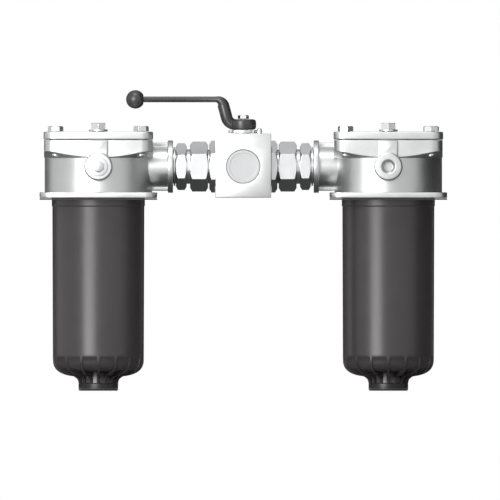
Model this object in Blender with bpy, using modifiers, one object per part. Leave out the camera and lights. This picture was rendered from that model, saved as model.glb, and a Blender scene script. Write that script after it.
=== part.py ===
"""Duplex tank-top return line filter.

Two identical filters hang through the lid of an oil tank. Each has a cast head with a bolted cover,
a ribbed plastic bowl, and inside it a pleated element with its bypass valve. Hexagon unions join both
heads to one three-way ball valve, whose cranked lever turns the flow from one filter to the other.

Metres, +Z up. The origin lies midway between the filters, level with the bowls' outlet faces.
Each filter is modelled about its own axis with its port towards +X, and the right one is turned round.
"""

import math

import bmesh
import bpy
from mathutils import Matrix

MM = 0.001

# Clearance and smoothness
GAP = 0.3 * MM
ROUND = 32
MEDIUM_ROUND = 16
SMALL_ROUND = 12
TINY_ROUND = 8
BALL_STEPS = 8
RING_SIDES = 5
BARREL_STEPS = 12
WELD = 0.00001
OVERCUT = 2 * MM

# Bowl
BOWL_RADIUS = 46.6 * MM
BOWL_DROP = 191.0 * MM
BOWL_WALL = 2.4 * MM
BOWL_BAND = 6.0 * MM
BOWL_STEP = 0.6 * MM
BOWL_TAPER = 0.5 * MM
BOWL_LIP = 2.4 * MM
BOWL_LIP_HEIGHT = 8.0 * MM
RIB_COUNT = 16
RIB_THICKNESS = 2.4 * MM
RIB_DEPTH = 1.3 * MM
RIB_TOP = 32.8 * MM
FACET_TURN = math.pi / ROUND
DOME_CENTRE = 12.0 * MM
DOME_POWER = 2.8
DOME_DEPTH = 18.8 * MM
FLOOR_POWER = 4.0
FLOOR_DEPTH = 14.0 * MM
SPOUT_BORE = 13.5 * MM
SPOUT_WALL = 4.1 * MM
SPOUT_RING = 2.2 * MM
SPOUT_RING_HEIGHT = 7.3 * MM
SPOUT_FOOT = 3.7 * MM
SPOUT_CHAMFER = 1.0 * MM

# Seal rings
ORING = 1.9 * MM

# Tank gasket
GASKET_THICKNESS = 1.5 * MM

# Head casting
HEAD_WALL = 4.4 * MM
LEDGE_THICKNESS = 4.5 * MM
FLANGE_MARGIN = 5.1 * MM
FLANGE_THICKNESS = 5.7 * MM
FLANGE_CORNER = 12.0 * MM
FLANGE_HOLE = 4.5 * MM
FLANGE_HOLE_INSET = 12.3 * MM
TOP_MARGIN = 0.6 * MM
TOP_CORNER = 11.0 * MM
TOP_DEPTH = 17.6 * MM
CONE_ANGLE = math.radians(18.9)
CAST_EDGE = 1.0 * MM
PORT_RISE = 31.4 * MM
NECK_WALL = 3.5 * MM
NECK_LENGTH = 21.0 * MM
NECK_COLLAR = 6.1 * MM
NECK_COLLAR_LENGTH = 5.2 * MM
PARTING_RIB = 4.1 * MM
PARTING_RIB_THICKNESS = 4.5 * MM
PARTING_RIB_MARGIN = 2.3 * MM
PORT_DEPTH = 18.0 * MM
BOSS_RADIUS = 14.0 * MM
BOSS_PROUD = 6.8 * MM
BOSS_CHAMFER = 1.2 * MM
PAD_WIDTH = 19.0 * MM
PAD_PROUD = 2.0 * MM
BLIND_RADIUS = 4.9 * MM
BLIND_DEPTH = 8.0 * MM
BLIND_SINK = 2.35 * MM

# Cover and its fasteners
COVER_THICKNESS = 8.1 * MM
COVER_OVERHANG = 0.5 * MM
COVER_EDGE = 1.6 * MM
SPIGOT_DEPTH = 5.0 * MM
SPIGOT_WALL = 6.0 * MM
BLEED_BOSS_WALL = 5.4 * MM
BLEED_BOSS_DEPTH = 10.0 * MM
BOLT_RADIUS = 4.0 * MM
BOLT_LENGTH = 25.0 * MM
BOLT_HEX = 13.5 * MM
BOLT_HEAD = 5.3 * MM
BOLT_INSET = 11.55 * MM
BOLT_TURNS = (0, 30, 10, 45)

# Quarter-inch plugs
PLUG_RADIUS = 6.3 * MM
PLUG_COLLAR = 9.4 * MM
PLUG_COLLAR_HEIGHT = 1.9 * MM
PLUG_LENGTH = 10.0 * MM
BLEED_HEX = 14.0 * MM
BLEED_HEX_HEIGHT = 6.6 * MM
PORT_PLUG_HEX = 10.2 * MM
PORT_PLUG_HEX_HEIGHT = 4.0 * MM

# Element
FLOW_GAP = 4.1 * MM
ELEMENT_TOP_RISE = 9.0 * MM
CAP_THICKNESS = 4.0 * MM
CAP_SKIRT = 6.0 * MM
CAP_WALL = 1.0 * MM
SEAT_BOSS = 18.0 * MM
ELEMENT_LIFT = 8.7 * MM
SPIGOT_REACH = 9.5 * MM
SPIGOT_BORE = 10.0 * MM
CORE_RADIUS = 21.4 * MM
CORE_WALL = 1.4 * MM
CORE_SLOTS = 6
CORE_SLOT_WIDTH = 8.0 * MM
CORE_SLOT_MARGIN = 12.0 * MM
PLEATS = 20
PAPER = 3.4 * MM
PLEAT_GAP = 1.2 * MM

# Bypass valve in the element's top cap
BYPASS_HOLE = 12.0 * MM
BYPASS_NOSE = 10.0 * MM
BYPASS_LAND = 2.5 * MM
BYPASS_DISC = 3.0 * MM
BYPASS_STEM = 3.0 * MM
BYPASS_WALL = 2.0 * MM
BYPASS_PASSAGE = 1.5 * MM
BYPASS_SPRING = 17.1 * MM
BYPASS_FLOOR = 2.5 * MM
BYPASS_WIRE = 0.9 * MM
BYPASS_COIL = 9.0 * MM
BYPASS_WINDOWS = 4
BYPASS_WINDOW_WIDTH = 12.0 * MM

# Spring that holds the element down
HOLD_WIRE = 1.4 * MM
HOLD_COIL = 15.0 * MM
HOLD_RIM = 1.5 * MM
HOLD_RIM_HEIGHT = 3.0 * MM
SPRING_TURNS = 4.5

# Flow bore and the union fittings
FLOW_RADIUS = 12.5 * MM
PORT_THREAD_WALL = 3.8 * MM
PORT_THREAD_LENGTH = 16.0 * MM
ADAPTOR_HEX_WALL = 3.7 * MM
ADAPTOR_HEX_LENGTH = 10.9 * MM
SEAL_THICKNESS = 2.2 * MM
SEAL_WIDTH = 2.7 * MM
TAIL_WALL = 4.7 * MM
TAIL_SHOULDER = 1.5 * MM
TAIL_SHOULDER_LENGTH = 3.2 * MM
TAIL_SHOWN = 3.3 * MM
NUT_LENGTH = 18.0 * MM
NUT_LIP = 3.5 * MM
NUT_WALL = 2.65 * MM
UNDERCUT_WALL = 4.3 * MM
UNDERCUT_SHOWN = 1.2 * MM
UNDERCUT_LENGTH = 2.4 * MM
VALVE_HEX_WALL = 3.0 * MM
VALVE_HEX_LENGTH = 6.0 * MM
VALVE_THREAD_LENGTH = 9.3 * MM
HEX_RELIEF = 0.4 * MM
HEX_CHAMFER = math.radians(30)

# Changeover valve
BALL_WALL = 5.0 * MM
BALL_CLEARANCE = 2.3 * MM
BLOCK_WIDTH = 55.6 * MM
BLOCK_FRONT = 40.0 * MM
BLOCK_BACK = 28.0 * MM
BLOCK_BELOW = 31.1 * MM
BLOCK_ABOVE = 33.1 * MM
BLOCK_EDGE = 0.8 * MM
SEAT_INNER = 12.0 * MM
INLET_RADIUS = 16.8 * MM
INLET_DEPTH = 16.0 * MM
INLET_PLUG_FACE = 2.5 * MM
INLET_PLUG_WALL = 2.0 * MM
INLET_PLUG_DEPTH = 12.0 * MM
TONGUE_WIDTH = 10.0 * MM
TONGUE_THICKNESS = 5.0 * MM
TONGUE_DEPTH = 3.2 * MM
STEM_RADIUS = 7.0 * MM
STEM_COLLAR = 2.0 * MM
STEM_COLLAR_HEIGHT = 4.7 * MM
STEM_SQUARE = 9.8 * MM

# Stop plate and pin
STOP_RADIUS = 14.3 * MM
STOP_THICKNESS = 3.1 * MM
STOP_LUG = 4.1 * MM
STOP_LUG_ANGLE = math.radians(16)
STOP_PLAY = math.radians(2)
PIN_RADIUS = 2.5 * MM
PIN_CLEAR = 1.66 * MM
PIN_ANGLE = math.radians(-30)
PIN_SHOWN = 5.3 * MM
PIN_DEPTH = 6.0 * MM
LEVER_TRAVEL = math.radians(90)

# Lever, knob and screw
HUB_RADIUS = 12.8 * MM
HUB_HEIGHT = 10.6 * MM
HUB_EDGE = 3.5 * MM
HUB_WEB = 2.5 * MM
POST_FOOT = 7.9 * MM
POST_LEAN = math.radians(15)
POST_RADIUS = 5.9 * MM
LOWER_BEND = 9.0 * MM
UPPER_BEND = 7.4 * MM
BAR_RISE = 25.1 * MM
BAR_RADIUS = 2.9 * MM
ROOT_RADIUS = 5.5 * MM
LEVER_REACH = 108.0 * MM
KNOB_RADIUS = 9.3 * MM
KNOB_FLAT = 4.6 * MM
KNOB_DEPTH = 3.0 * MM
SCREW_RADIUS = 3.0 * MM
SCREW_LENGTH = 12.0 * MM
SCREW_HEX = 9.6 * MM
SCREW_HEAD = 3.8 * MM

# Directions that a turned piece's axis may point in
UP = (0, 0, 0)
ALONG_X = (0, math.pi / 2, 0)
TOWARDS_FRONT = (math.pi / 2, 0, 0)
TOWARDS_BACK = (-math.pi / 2, 0, 0)
OUT_ALONG_LEVER = (0, -math.pi / 2, 0)

# Heights shared by both filters
gasket_top = BOWL_DROP + GASKET_THICKNESS
flange_base = gasket_top + GAP
flange_top = flange_base + FLANGE_THICKNESS
ledge_top = flange_base + LEDGE_THICKNESS
lip_base = ledge_top + GAP
lip_top = lip_base + BOWL_LIP_HEIGHT
port_z = flange_base + PORT_RISE

# Radii shared by the head, bowl and element
lip_radius = BOWL_RADIUS + BOWL_LIP
bore_radius = lip_radius + GAP
body_radius = bore_radius + HEAD_WALL
bowl_inner_top = BOWL_RADIUS - BOWL_WALL
dome_radius = BOWL_RADIUS - BOWL_STEP - BOWL_TAPER
bowl_inner_base = dome_radius - BOWL_WALL
element_radius = bowl_inner_base - FLOW_GAP

# Port, neck and head outline
port_thread = FLOW_RADIUS + PORT_THREAD_WALL
port_bore = port_thread + GAP
neck_radius = port_bore + NECK_WALL
neck_collar = neck_radius + NECK_COLLAR
parting_rib = neck_radius + PARTING_RIB
port_face = body_radius + NECK_LENGTH
head_top = port_z + parting_rib + PARTING_RIB_MARGIN
cone_z = head_top - TOP_DEPTH
flange_half = body_radius + FLANGE_MARGIN
top_half = body_radius + TOP_MARGIN
boss_face = body_radius + BOSS_PROUD
cover_base = head_top + GAP
cover_top = cover_base + COVER_THICKNESS
cover_half = top_half + COVER_OVERHANG
bolt_place = top_half - BOLT_INSET
bolt_seat = cover_top + GAP
flange_hole_place = flange_half - FLANGE_HOLE_INSET

# Bowl floor and element heights
spout_radius = SPOUT_BORE + SPOUT_WALL
floor_z = RIB_TOP - FLOOR_DEPTH + BOWL_WALL
cap_base = floor_z + ELEMENT_LIFT
cap_bottom_top = cap_base + CAP_THICKNESS
element_top = BOWL_DROP + ELEMENT_TOP_RISE
cap_underside = element_top - CAP_THICKNESS
media_base = cap_bottom_top + GAP
media_top = cap_underside - GAP

# Bypass valve heights, from the top cap down
poppet_radius = BYPASS_HOLE + BYPASS_LAND
cage_inner = poppet_radius + BYPASS_PASSAGE
cage_outer = cage_inner + BYPASS_WALL
poppet_top = cap_underside - GAP
poppet_base = poppet_top - BYPASS_DISC
bypass_spring_top = poppet_base - GAP
bypass_spring_base = bypass_spring_top - BYPASS_SPRING
cage_floor = bypass_spring_base - GAP

# Valve sizes
ball_radius = FLOW_RADIUS + BALL_WALL
chamber_radius = ball_radius + BALL_CLEARANCE
valve_thread = chamber_radius - GAP
valve_hex = 2 * (valve_thread + VALVE_HEX_WALL)
block_half = BLOCK_WIDTH / 2
block_top = port_z + BLOCK_ABOVE
ball_top = port_z + ball_radius
collar_base = ball_top + GAP
collar_top = collar_base + STEM_COLLAR_HEIGHT
plate_base = block_top + GAP
plate_top = plate_base + STOP_THICKNESS
hub_base = plate_top + GAP
hub_top = hub_base + HUB_HEIGHT
stem_top = hub_top - HUB_WEB - GAP
bar_z = hub_base + HUB_HEIGHT / 2 + BAR_RISE
pin_place = STOP_RADIUS + PIN_CLEAR + PIN_RADIUS

# Fittings, as distances from the valve's axis towards a filter
union_radius = FLOW_RADIUS + TAIL_WALL + TAIL_SHOULDER
tail_radius = FLOW_RADIUS + TAIL_WALL
undercut_radius = FLOW_RADIUS + UNDERCUT_WALL
valve_hex_near = block_half + GAP
valve_hex_far = valve_hex_near + VALVE_HEX_LENGTH
nut_near = valve_hex_far + UNDERCUT_SHOWN
nut_far = nut_near + NUT_LENGTH
tail_seat = nut_far - NUT_LIP - GAP
tail_end = tail_seat - TAIL_SHOULDER_LENGTH
valve_tail_end = tail_end - GAP
adaptor_hex_near = nut_far + TAIL_SHOWN
adaptor_hex_far = adaptor_hex_near + ADAPTOR_HEX_LENGTH
seal_near = adaptor_hex_far + GAP
seal_far = seal_near + SEAL_THICKNESS
filter_x = seal_far + GAP + port_face
adaptor_hex = 2 * (port_bore + ADAPTOR_HEX_WALL)
nut_hex = 2 * (union_radius + GAP + NUT_WALL)

for leftover in list(bpy.data.objects):
    bpy.data.objects.remove(leftover, do_unlink=True)

parts = bpy.data.collections.new("duplex_return_filter")
tools = bpy.data.collections.new("cutters")
for collection in (parts, tools):
    bpy.context.scene.collection.children.link(collection)


def finish(name, colour, roughness, metallic=0.0):
    """A material with one Principled shader."""
    made = bpy.data.materials.new(name)
    made.use_nodes = True
    shader = made.node_tree.nodes["Principled BSDF"]
    shader.inputs["Base Color"].default_value = (*colour, 1)
    shader.inputs["Roughness"].default_value = roughness
    shader.inputs["Metallic"].default_value = metallic
    return made


CAST = finish("cast_aluminium", (0.74, 0.74, 0.72), 0.45, 0.9)
STEEL = finish("zinc_plated_steel", (0.66, 0.67, 0.66), 0.3, 1.0)
BLOCK = finish("machined_steel_block", (0.8, 0.8, 0.79), 0.35, 0.8)
NYLON = finish("black_nylon", (0.05, 0.047, 0.05), 0.4)
ENAMEL = finish("black_enamel", (0.035, 0.034, 0.036), 0.35)
BAKELITE = finish("black_phenolic", (0.01, 0.01, 0.01), 0.15)
RUBBER = finish("nitrile_rubber", (0.02, 0.02, 0.02), 0.7)
PAPER_MEDIA = finish("filter_paper", (0.78, 0.7, 0.5), 0.9)
PTFE = finish("ptfe", (0.9, 0.9, 0.88), 0.4)
POLYTHENE = finish("grey_polyethylene", (0.72, 0.72, 0.72), 0.5)
WIRE = finish("spring_steel", (0.4, 0.4, 0.42), 0.3, 1.0)


def frame(name, x, turn):
    """An empty that carries every piece of one filter, or of the valve."""
    empty = bpy.data.objects.new(name, None)
    empty.location.x = x
    empty.rotation_euler.z = turn
    parts.objects.link(empty)
    return empty


FRAMES = {
    "left": frame("left_filter", -filter_x, 0),
    "right": frame("right_filter", filter_x, math.pi),
    "valve": frame("changeover_valve", 0, 0),
}


def add(name, data, side, material, location=(0, 0, 0), rotation=UP):
    """Put a mesh or curve in the scene as a piece of one side."""
    made = bpy.data.objects.new(name, data)
    made.parent = FRAMES[side]
    made.location = location
    made.rotation_euler = rotation
    parts.objects.link(made)
    data.materials.append(material)
    return made


def mesh_from(bm, name, smooth=True):
    """A mesh from bmesh data, smooth except at its sharp edges."""
    mesh = bpy.data.meshes.new(name)
    bm.to_mesh(mesh)
    bm.free()
    if smooth:
        mesh.shade_smooth()
        mesh.set_sharp_from_angle(angle=math.radians(35))
    return mesh


def turned(name, profile, side, material=STEEL, steps=ROUND, closed=False, turn=0.0, **place):
    """A turned shape: a profile of (radius, height) down its outer side, spun about its axis."""
    bm = bmesh.new()
    cosine, sine = math.cos(turn), math.sin(turn)
    chain = [bm.verts.new((r * cosine, r * sine, z)) for r, z in profile]
    for start, end in zip(chain, chain[1:]):
        bm.edges.new((start, end))
    if closed:
        bm.edges.new((chain[-1], chain[0]))
    made = add(name, mesh_from(bm, name, smooth=False), side, material, **place)
    screw = made.modifiers.new("Screw", "SCREW")
    screw.steps = steps
    screw.render_steps = steps
    screw.use_merge_vertices = True
    screw.merge_threshold = WELD
    screw.use_smooth_shade = steps > 6
    return made


def disc(name, radius, base, top, side, material=STEEL, steps=ROUND, **place):
    """A plain cylinder between two heights on its own axis."""
    profile = [(0, top), (radius, top), (radius, base), (0, base)]
    return turned(name, profile, side, material, steps, **place)


def tube(name, inner, outer, base, top, side, material=STEEL, steps=ROUND, **place):
    """A plain ring between two heights on its own axis."""
    profile = [(inner, top), (outer, top), (outer, base), (inner, base)]
    return turned(name, profile, side, material, steps, closed=True, **place)


def seal_ring(name, outer, height, side, steps=ROUND, turn=0.0, **place):
    """A round-section rubber ring, given by its outer radius."""
    section = ORING / 2
    angles = [math.pi / 2 - math.tau * i / RING_SIDES for i in range(RING_SIDES)]
    profile = [(outer - section + section * math.cos(a), height + section * math.sin(a)) for a in angles]
    return turned(name, profile, side, RUBBER, steps, closed=True, turn=turn, **place)


def boolean(target, tool, operation):
    """Cut, join or intersect with a tool, which stays in the cutters' collection as a wire shape.

    Every tool here is a closed shape, and the exact solver leaves open edges where turned ones cross.
    """
    if tool.name in parts.objects:
        parts.objects.unlink(tool)
        tools.objects.link(tool)
    tool.hide_render = True
    tool.display_type = "WIRE"
    step = target.modifiers.new(tool.name, "BOOLEAN")
    step.object = tool
    step.operation = operation
    step.solver = "MANIFOLD"
    return target


def cut(target, *cutters):
    for cutter in cutters:
        boolean(target, cutter, "DIFFERENCE")
    return target


def join(target, *additions):
    for addition in additions:
        boolean(target, addition, "UNION")
    return target


def box_mesh(bm, size, centre, turn=0.0):
    """Add one box to bmesh data, turned about the Z axis through the origin."""
    place = Matrix.Rotation(turn, 4, "Z") @ Matrix.Translation(centre) @ Matrix.Diagonal((*size, 1))
    bmesh.ops.create_cube(bm, size=1, matrix=place)


def block(name, low, high, side, material=STEEL, edge=0.0, turn=0.0, **place):
    """A box between two corners, with its edges chamfered."""
    bm = bmesh.new()
    size = [b - a for a, b in zip(low, high)]
    centre = [(a + b) / 2 for a, b in zip(low, high)]
    box_mesh(bm, size, centre, turn)
    if edge:
        bmesh.ops.bevel(bm, geom=bm.edges[:], offset=edge, segments=1, affect="EDGES")
    return add(name, mesh_from(bm, name), side, material, **place)


def plate(name, half, base, top, corner, side, material=CAST, edge=0.0, edge_steps=1, corner_steps=3):
    """A square plate with round corners, its upper and lower rims rounded by `edge`."""
    bm = bmesh.new()
    box_mesh(bm, (2 * half, 2 * half, top - base), (0, 0, (base + top) / 2))
    upright = [e for e in bm.edges if abs(e.verts[0].co.z - e.verts[1].co.z) > WELD]
    bmesh.ops.bevel(bm, geom=upright, offset=corner, segments=corner_steps, profile=0.5, affect="EDGES")
    if edge:
        bm.normal_update()
        rims = [e for e in bm.edges if sum(abs(f.normal.z) > 0.5 for f in e.link_faces) == 1]
        bmesh.ops.bevel(bm, geom=rims, offset=edge, segments=edge_steps, profile=0.5, affect="EDGES")
    return add(name, mesh_from(bm, name), side, material)


def at_corners(name, radius, place, base, top, side, steps=SMALL_ROUND):
    """Four upright cylinders at the corners of a square, as one cutter."""
    bm = bmesh.new()
    for x in (-place, place):
        for y in (-place, place):
            bmesh.ops.create_cone(
                bm, cap_ends=True, segments=steps, radius1=radius, radius2=radius, depth=top - base,
                matrix=Matrix.Translation((x, y, (base + top) / 2)))
    return add(name, mesh_from(bm, name), side, STEEL)


def spokes(name, count, inner, outer, width, base, top, side):
    """Boxes set round the axis like spokes, as one cutter."""
    bm = bmesh.new()
    for i in range(count):
        centre = ((inner + outer) / 2, 0, (base + top) / 2)
        box_mesh(bm, (outer - inner, width, top - base), centre, math.tau * i / count)
    return add(name, mesh_from(bm, name), side, STEEL)


def hexagon(name, across, base, top, side, material=STEEL, chamfers=(True, True), turn=0.0, **place):
    """A hexagon prism whose ends are chamfered by a cone, as on a machined nut."""
    corner = across / math.sqrt(3)
    flat = across / 2 - HEX_RELIEF
    outer = corner + HEX_RELIEF
    drop = (outer - flat) * math.tan(HEX_CHAMFER)
    ends = [(0, top + OVERCUT), (corner, top + OVERCUT), (corner, base - OVERCUT), (0, base - OVERCUT)]
    prism = turned(name, ends, side, material, 6, turn=turn, **place)
    high = [(flat, top), (outer, top - drop)] if chamfers[1] else [(outer, top)]
    low = [(outer, base + drop), (flat, base)] if chamfers[0] else [(outer, base)]
    barrel = turned(name + "_barrel", [(0, top), *high, *low, (0, base)], side, steps=BARREL_STEPS, **place)
    return boolean(prism, barrel, "INTERSECT")


def small_hexagon(name, across, base, top, side, turn=0.0, **place):
    """A small hexagon head with a plain chamfer round its top."""
    corner = across / math.sqrt(3)
    relief = corner - across / 2
    profile = [(0, top), (corner - relief, top), (corner, top - relief * math.tan(HEX_CHAMFER)),
               (corner, base), (0, base)]
    return turned(name, profile, side, STEEL, 6, turn=turn, **place)


def rod(name, points, radii, side, material, resolution, **place):
    """A round bar along points, with a radius at each, made a welded mesh so that it can be joined."""
    curve = bpy.data.curves.new(name, "CURVE")
    curve.dimensions = "3D"
    curve.bevel_depth = 1.0
    curve.bevel_resolution = resolution
    curve.use_fill_caps = True
    spline = curve.splines.new("POLY")
    spline.points.add(len(points) - 1)
    for point, place_at, radius in zip(spline.points, points, radii):
        point.co = (*place_at, 1)
        point.radius = radius
    guide = bpy.data.objects.new(name + "_guide", curve)
    tools.objects.link(guide)
    graph = bpy.context.evaluated_depsgraph_get()
    mesh = bpy.data.meshes.new_from_object(guide.evaluated_get(graph))
    bpy.data.objects.remove(guide)
    bm = bmesh.new()
    bm.from_mesh(mesh)
    bmesh.ops.remove_doubles(bm, verts=bm.verts[:], dist=WELD)
    bmesh.ops.recalc_face_normals(bm, faces=bm.faces[:])
    return add(name, mesh_from(bm, name), side, material, **place)


def spring(name, coil, wire, base, top, side, points_per_turn=6):
    """A compression spring whose first and last half turns lie flat."""
    count = round(SPRING_TURNS * points_per_turn)
    points = []
    for i in range(count + 1):
        turns = SPRING_TURNS * i / count
        rise = min(max((turns - 0.5) / (SPRING_TURNS - 1), 0), 1)
        angle = math.tau * turns
        height = base + wire + rise * (top - base - 2 * wire)
        points.append((coil * math.cos(angle), coil * math.sin(angle), height))
    return rod(name, points, [wire] * len(points), side, WIRE, 1)


def dome(radius, depth, power, count):
    """Points round the lower edge of the bowl, from its side in to its floor."""
    reach = radius - DOME_CENTRE
    angles = [math.pi / 2 * i / count for i in range(count)]
    return [(DOME_CENTRE + reach * math.cos(a) ** (2 / power), RIB_TOP - depth * math.sin(a) ** (2 / power))
            for a in angles]


def half_circle(radius, steps):
    """Profile points down the outer side of a ball."""
    angles = [math.pi * i / steps for i in range(steps + 1)]
    return [(radius * math.sin(a), radius * math.cos(a)) for a in angles]


def oring_groove(outer, height):
    """The four profile points of a seal groove in an outer side, from top to bottom."""
    half = ORING / 2 + GAP
    floor = outer - ORING - 0.5 * GAP
    return [(outer, height + half), (floor, height + half), (floor, height - half), (outer, height - half)]


def oring_rebate(outer, base):
    """The three profile points of a seal's rebate at the lower corner of an outer side."""
    size = ORING + GAP
    return [(outer, base + size), (outer - size, base + size), (outer - size, base)]


def make_head(side):
    name = f"head_{side}"
    head = disc(name, body_radius, (flange_base + flange_top) / 2, (cone_z + head_top) / 2, side, CAST)
    flange = plate(f"{name}_flange", flange_half, flange_base, flange_top, FLANGE_CORNER, side, edge=CAST_EDGE)

    # The upper flange is square above and conical below, so the cone leaves arched wedges on its sides
    reach = 2 * top_half
    top = plate(f"{name}_top", top_half, cone_z - OVERCUT, head_top, TOP_CORNER, side)
    cone = [(0, head_top + OVERCUT), (reach, head_top + OVERCUT),
            (reach, cone_z + (reach - body_radius) * math.tan(CONE_ANGLE)),
            (body_radius - OVERCUT, cone_z - OVERCUT * math.tan(CONE_ANGLE)),
            (0, cone_z - OVERCUT * math.tan(CONE_ANGLE))]
    boolean(top, turned(f"{name}_cone", cone, side), "INTERSECT")

    # Port neck with its collar and the rib that the mould's parting line leaves
    inside = bore_radius - HEAD_WALL
    neck = disc(f"{name}_neck", neck_radius, inside, port_face - NECK_COLLAR_LENGTH / 2, side,
                location=(0, 0, port_z), rotation=ALONG_X)
    collar = disc(f"{name}_collar", neck_collar, port_face - NECK_COLLAR_LENGTH, port_face, side,
                  location=(0, 0, port_z), rotation=ALONG_X)
    rib_half = PARTING_RIB_THICKNESS / 2
    rib = block(f"{name}_rib", (inside, -rib_half, port_z - parting_rib),
                (port_face - NECK_COLLAR_LENGTH / 3, rib_half, port_z + parting_rib), side, edge=CAST_EDGE)

    # Front and back bosses for an indicator, each under a pad that runs up to the cover
    additions = [flange, top, neck, collar, rib]
    for way, axis in (("front", TOWARDS_FRONT), ("back", TOWARDS_BACK)):
        profile = [(0, boss_face), (BOSS_RADIUS - BOSS_CHAMFER, boss_face),
                   (BOSS_RADIUS, boss_face - BOSS_CHAMFER), (BOSS_RADIUS, inside), (0, inside)]
        additions.append(turned(f"{name}_{way}_boss", profile, side, steps=MEDIUM_ROUND,
                                location=(0, 0, port_z), rotation=axis))
        sign = -1 if way == "front" else 1
        reach_y = sorted((sign * inside, sign * (top_half + PAD_PROUD)))
        additions.append(block(f"{name}_{way}_pad", (-PAD_WIDTH / 2, reach_y[0], port_z),
                               (PAD_WIDTH / 2, reach_y[1], head_top - CAST_EDGE / 2), side, edge=CAST_EDGE))
    join(head, *additions)

    # Bore with the ledge that the bowl hangs from
    bore = [(0, head_top + OVERCUT), (bore_radius, head_top + OVERCUT), (bore_radius, ledge_top),
            (BOWL_RADIUS + GAP, ledge_top), (BOWL_RADIUS + GAP, flange_base - OVERCUT),
            (0, flange_base - OVERCUT)]
    cutters = [turned(f"{name}_bore", bore, side, turn=FACET_TURN)]
    port = [(0, port_face + OVERCUT), (port_bore, port_face + OVERCUT), (port_bore, port_face - PORT_DEPTH),
            (FLOW_RADIUS, port_face - PORT_DEPTH), (FLOW_RADIUS, inside - HEAD_WALL),
            (0, inside - HEAD_WALL)]
    cutters.append(turned(f"{name}_port", port, side, steps=MEDIUM_ROUND, location=(0, 0, port_z), rotation=ALONG_X))
    cutters.append(disc(f"{name}_plug_hole", PLUG_RADIUS + GAP, inside, boss_face + OVERCUT, side,
                        steps=SMALL_ROUND, location=(0, 0, port_z), rotation=TOWARDS_FRONT))
    blind = [(0, boss_face + OVERCUT), (BLIND_RADIUS + BLIND_SINK, boss_face + OVERCUT),
             (BLIND_RADIUS + BLIND_SINK, boss_face), (BLIND_RADIUS, boss_face - BLIND_SINK),
             (BLIND_RADIUS, boss_face - BLIND_DEPTH), (0, boss_face - BLIND_DEPTH)]
    cutters.append(turned(f"{name}_blind", blind, side, steps=SMALL_ROUND,
                          location=(0, 0, port_z), rotation=TOWARDS_BACK))
    cutters.append(at_corners(f"{name}_bolt_holes", BOLT_RADIUS + GAP, bolt_place,
                              bolt_seat - BOLT_LENGTH - OVERCUT, head_top + OVERCUT, side, TINY_ROUND))
    cutters.append(at_corners(f"{name}_mount_holes", FLANGE_HOLE, flange_hole_place,
                              flange_base - OVERCUT, flange_top + OVERCUT, side, TINY_ROUND))
    cut(head, *cutters)


def make_gasket(side):
    name = f"flange_gasket_{side}"
    gasket = plate(name, flange_half, BOWL_DROP, gasket_top, FLANGE_CORNER, side, RUBBER)
    cut(gasket, disc(f"{name}_hole", BOWL_RADIUS + GAP, BOWL_DROP - OVERCUT, gasket_top + OVERCUT, side))
    cut(gasket, at_corners(f"{name}_mount_holes", FLANGE_HOLE, flange_hole_place,
                           BOWL_DROP - OVERCUT, gasket_top + OVERCUT, side, TINY_ROUND))


def make_cover(side):
    name = f"cover_{side}"
    cover = plate(name, cover_half, cover_base, cover_top, TOP_CORNER, side, edge=COVER_EDGE, edge_steps=2)
    spigot_base = cover_base - SPIGOT_DEPTH
    spigot_radius = bore_radius - GAP
    inner = spigot_radius - SPIGOT_WALL
    groove_z = cover_base - SPIGOT_DEPTH / 2
    spigot = [(inner, cover_base + OVERCUT), (spigot_radius, cover_base + OVERCUT),
              *oring_groove(spigot_radius, groove_z), (spigot_radius, spigot_base), (inner, spigot_base)]
    boss = disc(f"{name}_boss", PLUG_RADIUS + BLEED_BOSS_WALL, cover_base - BLEED_BOSS_DEPTH,
                cover_base + OVERCUT, side, steps=SMALL_ROUND)
    join(cover, turned(f"{name}_spigot", spigot, side, steps=MEDIUM_ROUND, closed=True), boss)
    cut(cover, disc(f"{name}_bleed_hole", PLUG_RADIUS + GAP, cover_base - BLEED_BOSS_DEPTH - OVERCUT,
                    cover_top + OVERCUT, side, steps=SMALL_ROUND))
    cut(cover, at_corners(f"{name}_bolt_holes", BOLT_RADIUS + GAP, bolt_place,
                          cover_base - OVERCUT, cover_top + OVERCUT, side, TINY_ROUND))
    seal_ring(f"cover_oring_{side}", spigot_radius, groove_z, side, steps=MEDIUM_ROUND)


def make_bolts(side):
    corners = [(x, y) for x in (-bolt_place, bolt_place) for y in (-bolt_place, bolt_place)]
    for number, ((x, y), turn) in enumerate(zip(corners, BOLT_TURNS), 1):
        name = f"cover_bolt_{side}_{number}"
        place = {"location": (x, y, bolt_seat)}
        bolt = small_hexagon(name, BOLT_HEX, 0, BOLT_HEAD, side, math.radians(turn), **place)
        join(bolt, disc(f"{name}_shank", BOLT_RADIUS, -BOLT_LENGTH, BOLT_HEAD / 2, side, steps=TINY_ROUND, **place))


def make_plug(name, hexagon_size, hexagon_height, side, turn, **place):
    """A threaded plug with a round collar, standing on its own axis."""
    profile = [(0, PLUG_COLLAR_HEIGHT), (PLUG_COLLAR, PLUG_COLLAR_HEIGHT), (PLUG_COLLAR, 0),
               (PLUG_RADIUS, 0), (PLUG_RADIUS, -PLUG_LENGTH), (0, -PLUG_LENGTH)]
    plug = turned(name, profile, side, STEEL, SMALL_ROUND, **place)
    join(plug, small_hexagon(f"{name}_hexagon", hexagon_size, PLUG_COLLAR_HEIGHT / 2,
                             PLUG_COLLAR_HEIGHT + hexagon_height, side, turn, **place))


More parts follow.
